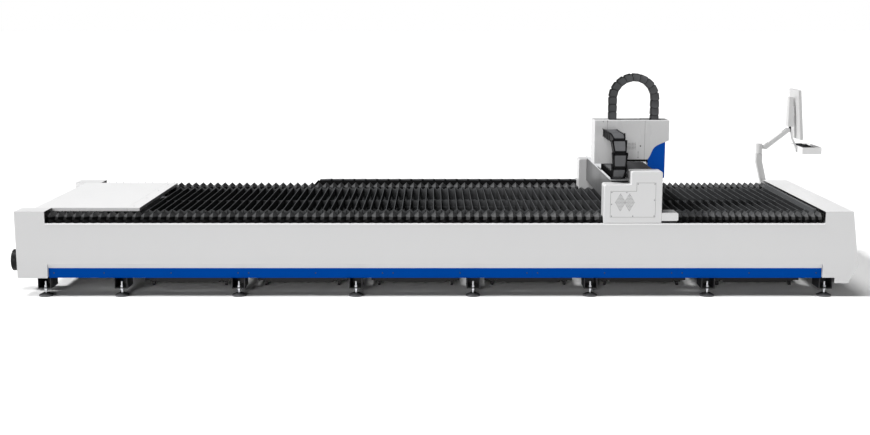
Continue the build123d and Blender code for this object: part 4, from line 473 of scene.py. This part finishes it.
def pleated_cloth(name, worn, top, depth):
    """Coated cloth: near black, with a fine weave, and a painted highlight: lighter colour from the top
    of the folds down to a depth, for the light on the crests.
    """
    finish, shader, wire = new_finish(name, BELLOWS_BLACK, 0.42, specular=0.15)
    place = wire.add("ShaderNodeTexCoord", output="Object")
    cloud = place.noise(6.0, 4.0)
    height = wire.add("ShaderNodeSeparateXYZ", None, {0: place}, "Z")
    # Painted highlight: the dust value here makes the cloth lighter from its top down to the given depth,
    # for the light falling on the folds.
    dust = ((height - (top - depth)) * PAINTED_HIGHLIGHT_FADE).limited() * (cloud * 0.5 + 0.6)
    tone = dust.between((*BELLOWS_BLACK, 1), (*worn, 1))
    weave = place.noise(900.0, 1.0, (1, 0.4, 0.4))
    relief = {"Strength": 0.15, "Distance": 0.0002, "Height": weave}
    join_up(shader, Base_Color=tone, Roughness=cloud * 0.16 + 0.34)
    join_up(shader, Normal=wire.add("ShaderNodeBump", None, relief, "Normal"))
    return finish


def hang_bellows(node, finish):
    """Cloth in place of its solid."""
    piece = worked_copy(node, f"{node}_cloth")
    piece.data.materials.append(finish)
    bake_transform(piece)
    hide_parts(node)


rail_cloth = pleated_cloth("rail_cloth", BELLOWS_PAINTED_HIGHLIGHT, BELLOWS_TOP, PAINTED_HIGHLIGHT_DEPTH)
for node, bed_end in BED_SIDE_ENDS.items():
    hang_bellows(node, rail_cloth)


# Slag carts: low trays of folded grey sheet on small castors, rolled out by hand from under the bed.

CART_GREY = (0.012, 0.012, 0.013)
CARTS = 6

cart_grey = powder_coat("cart_grey", CART_GREY, 0.45, mottle=0.3, dust=0.1, dust_top=0.1)
for number in range(1, CARTS + 1):
    dress(cart_grey, f"slag_cart_{number}")


# Exhaust collar: a ribbed black collar low on the left end of the bed, round the duct that carries
# off the smoke.

COLLAR_BLACK = (0.0030, 0.0030, 0.0034)

dress(moulded("collar_black", COLLAR_BLACK, 0.45), "exhaust_spigot")


# Trough and long drag chain behind the bed: moulded links, each with two rounded side plates that
# overlap the next link's, and snapped-in covers over black lids. The chain runs back from the gantry,
# turns in a half circle and returns along its sheet trough.

CHAIN_BLACK = (0.0030, 0.0030, 0.0034)
CHAIN_GREY = (0.070, 0.071, 0.074)
TROUGH_GREY = (0.55, 0.56, 0.57)
PLATE_SIDES = 16
PLATE_SHARE = 0.11
PLATE_OVERLAP = 1.2
PLATE_BULGE = 0.45
PLATE_SKEW = 0.45
PANEL_RIM = 0.055
PANEL_DEPTH = 0.22
COVER_SHARE = 0.84
COVER_THICKNESS = 0.010
COVER_INSET = 0.007
COVER_EDGE = 0.003
LID_SHARES = (1.16, 0.98, 0.72)
LID_EDGE = 0.004

chain_black = moulded("chain_black", CHAIN_BLACK, 0.45, 500.0, specular=0.06)
chain_grey = moulded("chain_grey", CHAIN_GREY, 0.50, 500.0)


def soften(piece, width, segments=2):
    """Round off all edges of a shape."""
    bpy.ops.object.mode_set(mode="EDIT")
    bpy.ops.mesh.select_all(action="SELECT")
    bpy.ops.mesh.bevel(offset=width, segments=segments)
    bpy.ops.object.mode_set(mode="OBJECT")
    return piece


def side_plate(pitch, thickness, plate, y, rim_finish, finish):
    """Side plate with curved ends and a sunk panel, one end set outwards to lap over the next plate."""
    bpy.ops.object.select_all(action="DESELECT")
    bpy.ops.mesh.primitive_cylinder_add(
        vertices=PLATE_SIDES,
        radius=thickness / 2,
        depth=plate,
        location=(0, y, 0),
        rotation=(math.pi / 2, math.pi / PLATE_SIDES, 0),
    )
    piece = fresh(bpy.context.object, rim_finish)
    piece.data.materials.append(finish)
    reach = (pitch * PLATE_OVERLAP - thickness * PLATE_BULGE) / 2
    for vertex in piece.data.vertices:
        vertex.co.x = vertex.co.x * PLATE_BULGE + (reach if vertex.co.x > 0 else -reach)
        vertex.co.y += math.copysign(plate * PLATE_SKEW, y) * vertex.co.x / reach
    for face in piece.data.polygons:
        face.select = abs(face.normal.y) > 0.9
    bpy.ops.object.mode_set(mode="EDIT")
    bpy.ops.mesh.inset(thickness=thickness * PANEL_RIM, depth=-plate * PANEL_DEPTH, use_individual=True)
    bpy.ops.object.mode_set(mode="OBJECT")
    for face in piece.data.polygons:
        face.material_index = 1 if face.select else 0
    return piece


def cover_plate(pitch, width, z, finish):
    """Snapped-in cover with rounded edges, shorter than the pitch so that a dark joint stays open."""
    bpy.ops.object.select_all(action="DESELECT")
    reach = (pitch * COVER_SHARE, width, COVER_THICKNESS)
    bpy.ops.mesh.primitive_cube_add(size=1, location=(0, 0, z), scale=reach)
    return soften(fresh(bpy.context.object, finish), COVER_EDGE)


def chain_link(pitch, width, thickness, side_finish, cover_finish):
    """One link along X, its outer side up: side plates, both covers, and the black lid under them."""
    plate = width * PLATE_SHARE
    inside = width - 2 * plate
    parts = []
    for y in (-(width - plate) / 2, (width - plate) / 2):
        parts.append(side_plate(pitch, thickness, plate, y, chain_black, side_finish))
    for z in (-thickness / 2 + COVER_INSET, thickness / 2 - COVER_INSET):
        parts.append(cover_plate(pitch, inside, z, cover_finish))
    bpy.ops.object.select_all(action="DESELECT")
    reach = [size * share for size, share in zip((pitch, inside, thickness), LID_SHARES)]
    bpy.ops.mesh.primitive_cube_add(size=1, scale=reach)
    parts.append(soften(fresh(bpy.context.object, chain_black), LID_EDGE))
    return unite(parts)


def chain_step(distance, first_run, radius):
    """Way along, height and turn of a link on a path that goes out, round and back."""
    if distance < first_run:
        return first_run - distance, 0.0, 0.0
    if distance < first_run + math.pi * radius:
        angle = (distance - first_run) / radius
        return -radius * math.sin(angle), radius * (math.cos(angle) - 1), angle
    return distance - first_run - math.pi * radius, -2 * radius, math.pi


def hang_chain(node, link, path):
    """The chain in three pieces: the pulled run, the turn at half its travel, and the laid run."""
    origin, along, up, pitch, count, first_run, radius = path
    runs = {"pulled_run": [], "turn": [], "laid_run": []}
    for i in range(count):
        way, height, angle = chain_step(pitch * (i + 0.5), first_run, radius)
        run = "pulled_run" if angle == 0 else "laid_run" if angle == math.pi else "turn"
        ahead = along * math.cos(angle) + up * math.sin(angle)
        outward = up * math.cos(angle) - along * math.sin(angle)
        axes = Matrix((ahead, outward.cross(ahead), outward)).transposed().to_4x4()
        runs[run].append(Matrix.Translation(origin + along * way + up * height) @ axes)
    for run, matrices in runs.items():
        master = link.copy()
        master.data = link.data.copy()
        bpy.context.scene.collection.objects.link(master)
        piece = set_out(master, matrices)
        piece.name = f"{node}_{run}"
        piece.data.name = piece.name
        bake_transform(piece)
        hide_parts(node)
    bpy.data.objects.remove(link, do_unlink=True)


LONG_PITCH = 0.138
LONG_WIDTH = 0.130
LONG_THICKNESS = 0.080
LONG_LINKS = 38
LONG_RUN = 3.100
LONG_BEND = 0.170
LONG_BEND_START = Vector((-1.400, 1.150, 0.830))

hang_chain(
    "long_drag_chain",
    chain_link(LONG_PITCH, LONG_WIDTH, LONG_THICKNESS, chain_black, chain_grey),
    (LONG_BEND_START, Vector((1, 0, 0)), Vector((0, 0, 1)), LONG_PITCH, LONG_LINKS, LONG_RUN, LONG_BEND),
)
dress(powder_coat("trough_grey", TROUGH_GREY, 0.4), "chain_trough")


# Gantry: end housings, service panel and motor box in white coated sheet over a welded box beam. The
# service panel lies on a black rubber sheet that shows as a thin line round it and through its vents,
# and is held by dark socket screws. The beam is dull grey, the chain tray on it bright coated sheet.

GANTRY_WHITE = (0.580, 0.580, 0.582)
BEAM_GREY = (0.088, 0.089, 0.091)
TRAY_WHITE = (0.62, 0.63, 0.64)
RUBBER_BLACK = (0.006, 0.006, 0.006)
SCREW_DARK = (0.060, 0.062, 0.066)
SCREW_STAND = 0.002
PANEL_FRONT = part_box("service_panel")[0].y + SCREW_STAND
SHEET_BACK = PANEL_FRONT + 0.0021
SHEET_FRONT = PANEL_FRONT + 0.0012
SHEET_MARGIN = 0.0022
SHEET_EDGE = 0.0003
PANEL_SCREW_SIZE = (0.0050, 0.0022)
PANEL_BLOCKS = (((1.689, 0.825), (2.141, 1.087)), ((1.951, 1.080), (2.141, 1.172)))
PANEL_SCREWS = (
    (1.699, 0.835),
    (1.699, 0.956),
    (1.699, 1.077),
    (1.915, 0.835),
    (2.131, 0.835),
    (2.131, 0.9985),
    (2.131, 1.162),
    (1.961, 1.162),
    (1.8495, 1.077),
)
FACING_FRONT = Matrix.Rotation(math.pi / 2, 4, "X")

gantry_white = powder_coat("gantry_white", GANTRY_WHITE, 0.30, mottle=0.03, dust=0.0)
dress(gantry_white, "front_end_housing", "rear_end_housing", "motor_box", "service_panel")
dress(powder_coat("beam_grey", BEAM_GREY, 0.42, mottle=0.12, dust=0.0), "gantry_beam")
dress(powder_coat("tray_white", TRAY_WHITE, 0.40, mottle=0.08, dust=0.0), "chain_tray")
dress(black_coat, "drive_motors")

rubber_black = moulded("rubber_black", RUBBER_BLACK, 0.6)
blocks = []
for (left, bottom), (right, top) in PANEL_BLOCKS:
    bpy.ops.object.select_all(action="DESELECT")
    middle = ((left + right) / 2, (SHEET_FRONT + SHEET_BACK) / 2, (bottom + top) / 2)
    reach = (right - left + 2 * SHEET_MARGIN, SHEET_BACK - SHEET_FRONT, top - bottom + 2 * SHEET_MARGIN)
    bpy.ops.mesh.primitive_cube_add(size=1, location=middle, scale=reach)
    blocks.append(soften(fresh(bpy.context.object, rubber_black), SHEET_EDGE, 1))
settle(unite(blocks), "panel_rubber", rubber_black, "gantry")

screw_dark = bare_metal("screw_dark", SCREW_DARK, 0.42)
head = screw_head(*PANEL_SCREW_SIZE)
places = [Matrix.Translation((x, PANEL_FRONT - SCREW_STAND, z)) @ FACING_FRONT for x, z in PANEL_SCREWS]
settle(set_out(head, places), "panel_screws", screw_dark, "gantry")


# Beam bellows: the same coated cloth in low flat pleats on top of the beam, each end fixed to an end
# housing or to the head.

# Painted highlight: the beam cloth is coloured this grey from its top down to a depth of 0.2 m, for the
# light on its flat pleats.
BEAM_CLOTH_PAINTED_HIGHLIGHT = (0.050, 0.050, 0.053)
BEAM_PAINTED_HIGHLIGHT_DEPTH = 0.2
HEAD_SIDE_ENDS = {"front_beam_bellows": 1, "rear_beam_bellows": 0}

beam_cloth_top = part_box("front_beam_bellows")[1].z
beam_cloth = pleated_cloth("beam_cloth", BEAM_CLOTH_PAINTED_HIGHLIGHT, beam_cloth_top, BEAM_PAINTED_HIGHLIGHT_DEPTH)
for node, head_end in HEAD_SIDE_ENDS.items():
    hang_bellows(node, beam_cloth)


# Short drag chain: the same kind of chain, from the head forward, round and back into the beam's
# tray. Its links are a little wider and lower than the long chain's.

SHORT_PITCH = 0.130
SHORT_WIDTH = 0.143
SHORT_THICKNESS = 0.078
SHORT_LINKS = 14
SHORT_RUN = 0.528
SHORT_BEND = 0.188
SHORT_BEND_START = Vector((1.7845, -1.0515, 1.601))

hang_chain(
    "short_drag_chain",
    chain_link(SHORT_PITCH, SHORT_WIDTH, SHORT_THICKNESS, chain_black, chain_grey),
    (
        SHORT_BEND_START,
        Vector((0, 1, 0)),
        Vector((0, 0, 1)),
        SHORT_PITCH,
        SHORT_LINKS,
        SHORT_RUN,
        SHORT_BEND,
    ),
)


# Head: white folded cover over the carriage, with a deep blue lower cover that reaches down round the
# cutting head. Black seals show in the joints between its sheets. A black rubber lip hangs from its
# front to just above the beam bellows, partly painted shade: a dark strip for the shadowed gap there.
# Its front has a patch of small vents, drawn as black discs that paint the shade in their openings, a
# black plug and a few dark screws.

HEAD_WHITE = (0.560, 0.560, 0.562)
COVER_BLUE = (0.0005, 0.072, 0.420)
HEAD_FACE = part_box("head_housing")[0].y
HEAD_SEAMS = ((2.157, 1.312, 1.732), (1.755, 1.626, 1.732), (2.090, 1.338, 1.388))
SEAL_WIDTH = 0.0026
SEAL_FLATNESS = 0.5
SEAL_SINK = 0.0004
SEAL_SIDES = 8
HEAD_SCREWS = ((2.090, 1.393), (2.090, 1.333), (1.711, 1.718), (1.758, 1.718), (1.706, 1.644))
VENT_COLUMNS = 7
VENT_ROWS = 5
VENT_LOW = (1.967, 1.428)
VENT_STEP = 0.0150
VENT_SIZE = (0.0034, 0.0010)
HEAD_SCREW_SIZE = (0.0045, 0.0018)
PLUG_SIZE = (0.0075, 0.0030)
PLUG_PLACE = (2.113, 1.458)
SHADE_LIP_REACH = ((1.898, -0.5165, 1.2905), (2.190, -0.5125, 1.3180))
LIP_EDGE = 0.001
MILLED = (0.70, 0.71, 0.73)

head_white = powder_coat("head_white", HEAD_WHITE, 0.28, mottle=0.02, dust=0.0)
cover_blue = powder_coat("cover_blue", COVER_BLUE, 0.42, mottle=0.08, dust=0.0, specular=0.03)
aluminium = bare_metal("milled_aluminium", MILLED, 0.36, stain=0.1)
dress(head_white, "head_housing")
dress(cover_blue, "head_lower_cover")
dress(aluminium, "head_carriage", "vertical_slide", "cutting_head")

# Painted shade, in part: this black rubber strip fills the shadowed gap between the head and the beam
# bellows.
bpy.ops.object.select_all(action="DESELECT")
lip_low, lip_high = SHADE_LIP_REACH
middle = [(low + high) / 2 for low, high in zip(lip_low, lip_high)]
reach = [high - low for low, high in zip(lip_low, lip_high)]
bpy.ops.mesh.primitive_cube_add(size=1, location=middle, scale=reach)
lip = soften(fresh(bpy.context.object, rubber_black), LIP_EDGE)
settle(lip, "head_lip_painted_shade", rubber_black, "head")

seals = []
for x, bottom, top in HEAD_SEAMS:
    bpy.ops.object.select_all(action="DESELECT")
    place = (x, HEAD_FACE + SEAL_SINK, (bottom + top) / 2)
    bpy.ops.mesh.primitive_cylinder_add(
        vertices=SEAL_SIDES, radius=SEAL_WIDTH / 2, depth=top - bottom, location=place
    )
    seal = fresh(bpy.context.object, rubber_black)
    for vertex in seal.data.vertices:
        vertex.co.y = place[1] + (vertex.co.y - place[1]) * SEAL_FLATNESS
    seals.append(seal)
settle(unite(seals), "head_seals", rubber_black, "head")

# Painted shade: the vents are drawn as small black discs on the face, their black standing for the dark
# insides of the openings.
eye = screw_head(*VENT_SIZE)
places = []
for row in range(VENT_ROWS):
    for column in range(VENT_COLUMNS):
        x = VENT_LOW[0] + VENT_STEP * column
        z = VENT_LOW[1] + VENT_STEP * row
        places.append(Matrix.Translation((x, HEAD_FACE, z)) @ FACING_FRONT)
settle(set_out(eye, places), "head_vents", rubber_black, "head")

head = screw_head(*HEAD_SCREW_SIZE)
places = [Matrix.Translation((x, HEAD_FACE, z)) @ FACING_FRONT for x, z in HEAD_SCREWS]
settle(set_out(head, places), "head_screws", screw_dark, "head")

plug = screw_head(*PLUG_SIZE)
places = [Matrix.Translation((PLUG_PLACE[0], HEAD_FACE, PLUG_PLACE[1])) @ FACING_FRONT]
settle(set_out(plug, places), "head_plug", rubber_black, "head")


# Loop chain: a narrow chain that stands up from the head, turns over and comes down through the slot
# to the vertical slide. Its side plates are the lighter part.

LOOP_GREY = (0.052, 0.053, 0.055)
LOOP_PITCH = 0.0788
LOOP_WIDTH = 0.090
LOOP_THICKNESS = 0.085
LOOP_LINKS = 16
LOOP_RUN = 0.3311
LOOP_BEND = 0.225
LOOP_BEND_START = Vector((2.269, -0.4115, 1.9575))

loop_grey = moulded("loop_grey", LOOP_GREY, 0.50, 500.0)
hang_chain(
    "loop_drag_chain",
    chain_link(LOOP_PITCH, LOOP_WIDTH, LOOP_THICKNESS, loop_grey, chain_black),
    (LOOP_BEND_START, Vector((0, 0, -1)), Vector((1, 0, 0)), LOOP_PITCH, LOOP_LINKS, LOOP_RUN, LOOP_BEND),
)


# Console: leaning post, spring arm and column in off-white coat, a slim portrait monitor with a dark
# pane, and a tray with a black keyboard and mouse.

CONSOLE_WHITE = (0.540, 0.540, 0.538)
TRAY_COAT = (0.70, 0.70, 0.70)
PANE_BLACK = (0.006, 0.007, 0.009)
PANE_DUST = (0.012, 0.013, 0.015)
KEY_BLACK = (0.012, 0.012, 0.013)

console_white = powder_coat("console_white", CONSOLE_WHITE, 0.38, mottle=0.03, dust=0.0)
dress(console_white, "console_post", "swivel_block", "spring_arm", "console_column", "monitor")
dress(powder_coat("console_tray", TRAY_COAT, 0.38, mottle=0.03, dust=0.0), "keyboard_tray")
dress(black_coat, "arm_knuckle")
dress(moulded("key_black", KEY_BLACK, 0.5), "keyboard")


def dark_pane():
    """Dark glossy pane with faint dust."""
    finish, shader, wire = new_finish("dark_pane", PANE_BLACK, 0.08, coat=0.5)
    place = wire.add("ShaderNodeTexCoord", output="Object")
    dust = place.noise(35.0, 5.0)
    join_up(shader, Base_Color=dust.between((*PANE_BLACK, 1), (*PANE_DUST, 1)))
    join_up(shader, Roughness=dust * 0.12 + 0.04)
    return finish


dress(dark_pane(), "monitor_screen")


# Keys: rows of moulded caps standing on the keyboard, dull black, each drawn in a little towards its
# top.

KEY_PITCH = 0.0195
KEY_ROWS = 6
KEY_COLUMNS = 15
KEY_SIZE = 0.0160
KEY_HEIGHT = 0.005
KEY_CROWN = 0.78
KEY_LEVEL = 0.026
KEY_MARGINS = (0.020, 0.028)
CAP_BLACK = (0.020, 0.020, 0.022)

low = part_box("keyboard")[0]
key_z = low.z + KEY_LEVEL + KEY_HEIGHT / 2
bpy.ops.object.select_all(action="DESELECT")
bpy.ops.mesh.primitive_cube_add(size=KEY_SIZE)
cap = bpy.context.object
cap.scale = (1, 1, KEY_HEIGHT / KEY_SIZE)
bpy.ops.object.transform_apply(location=True, rotation=True, scale=True)
choose_top(cap)
bpy.ops.object.mode_set(mode="EDIT")
bpy.ops.transform.resize(value=(KEY_CROWN, KEY_CROWN, 1.0))
bpy.ops.object.mode_set(mode="OBJECT")
places = []
for row in range(KEY_ROWS):
    for column in range(KEY_COLUMNS):
        x = low.x + KEY_MARGINS[0] + row * KEY_PITCH
        y = low.y + KEY_MARGINS[1] + column * KEY_PITCH
        places.append(Matrix.Translation((x, y, key_z)))
key_finish = moulded("key_caps", CAP_BLACK, 0.55)
settle(set_out(cap, places), "keyboard_keys", key_finish, "column")


# Floor, camera and studio light: a white floor and backdrop, one soft-edged light from the left that
# leaves a dark shadow under the machine, a broad one overhead, and a weak one from the front.

CAMERA_PLACE = (-0.083, -13.3865, 2.850)
CAMERA_DOWN = 9.56
KEY_FROM = (-1.1, -0.04, 1.0)
KEY_POWER = 3.8
KEY_SOFTNESS = 8.0
TOP_FROM = (-0.28, -0.08, 1.0)
TOP_POWER = 2.15
TOP_SOFTNESS = 24.0
FILL_FROM = (-0.2, -1.0, 0.21)
FILL_POWER = 1.3
FILL_SOFTNESS = 18.0
WORLD_FILL = 0.03
LENS = 50
FILM_WIDTH = 36
FLOOR_SIZE = 240
FLOOR_MIDDLE = (0, 60, 0)
FLOOR_WHITE = (0.79, 0.79, 0.79)
FLOOR_DARKER = (0.78, 0.78, 0.78)
FLOOR_LIGHTER = (0.80, 0.80, 0.80)

bpy.ops.object.select_all(action="DESELECT")
bpy.ops.mesh.primitive_plane_add(size=FLOOR_SIZE, location=FLOOR_MIDDLE)
floor = bpy.context.object
floor.name = "studio_floor"
floor_finish, floor_shader, floor_wire = new_finish("studio_floor", FLOOR_WHITE, 0.75, specular=0.0)
floor_place = floor_wire.add("ShaderNodeTexCoord", output="Object")
floor_cloud = floor_place.noise(0.5, 3.0)
join_up(floor_shader, Base_Color=floor_cloud.between((*FLOOR_DARKER, 1), (*FLOOR_LIGHTER, 1)))
floor.data.materials.append(floor_finish)

camera_data = bpy.data.cameras.new("photo_camera")
camera = bpy.data.objects.new("photo_camera", camera_data)
bpy.context.scene.collection.objects.link(camera)
camera.location = CAMERA_PLACE
camera.rotation_euler = (math.radians(90 - CAMERA_DOWN), 0, 0)
camera_data.lens = LENS
camera_data.sensor_width = FILM_WIDTH
camera_data.clip_end = 500
bpy.context.scene.camera = camera

lights = (
    ("key_light", KEY_FROM, KEY_POWER, KEY_SOFTNESS),
    ("top_light", TOP_FROM, TOP_POWER, TOP_SOFTNESS),
    ("front_fill", FILL_FROM, FILL_POWER, FILL_SOFTNESS),
)
for name, direction, power, softness in lights:
    sun_data = bpy.data.lights.new(name, "SUN")
    sun_data.energy = power
    sun_data.angle = math.radians(softness)
    sun = bpy.data.objects.new(name, sun_data)
    bpy.context.scene.collection.objects.link(sun)
    sun.rotation_euler = Vector(direction).to_track_quat("Z", "Y").to_euler()

world = bpy.data.worlds.new("studio")
bpy.context.scene.world = world
world.use_nodes = True
world_tree = world.node_tree
dim = world_tree.nodes["Background"]
dim.inputs["Color"].default_value = (1, 1, 1, 1)
dim.inputs["Strength"].default_value = WORLD_FILL
backdrop = world_tree.nodes.new("ShaderNodeBackground")
backdrop.inputs["Color"].default_value = (1, 1, 1, 1)
backdrop.inputs["Strength"].default_value = 1.0
ray = world_tree.nodes.new("ShaderNodeLightPath")
seen = world_tree.nodes.new("ShaderNodeMixShader")
world_tree.links.new(ray.outputs["Is Camera Ray"], seen.inputs[0])
world_tree.links.new(dim.outputs[0], seen.inputs[1])
world_tree.links.new(backdrop.outputs[0], seen.inputs[2])
world_tree.links.new(seen.outputs[0], world_tree.nodes["World Output"].inputs["Surface"])
bpy.context.scene.view_settings.view_transform = "Standard"
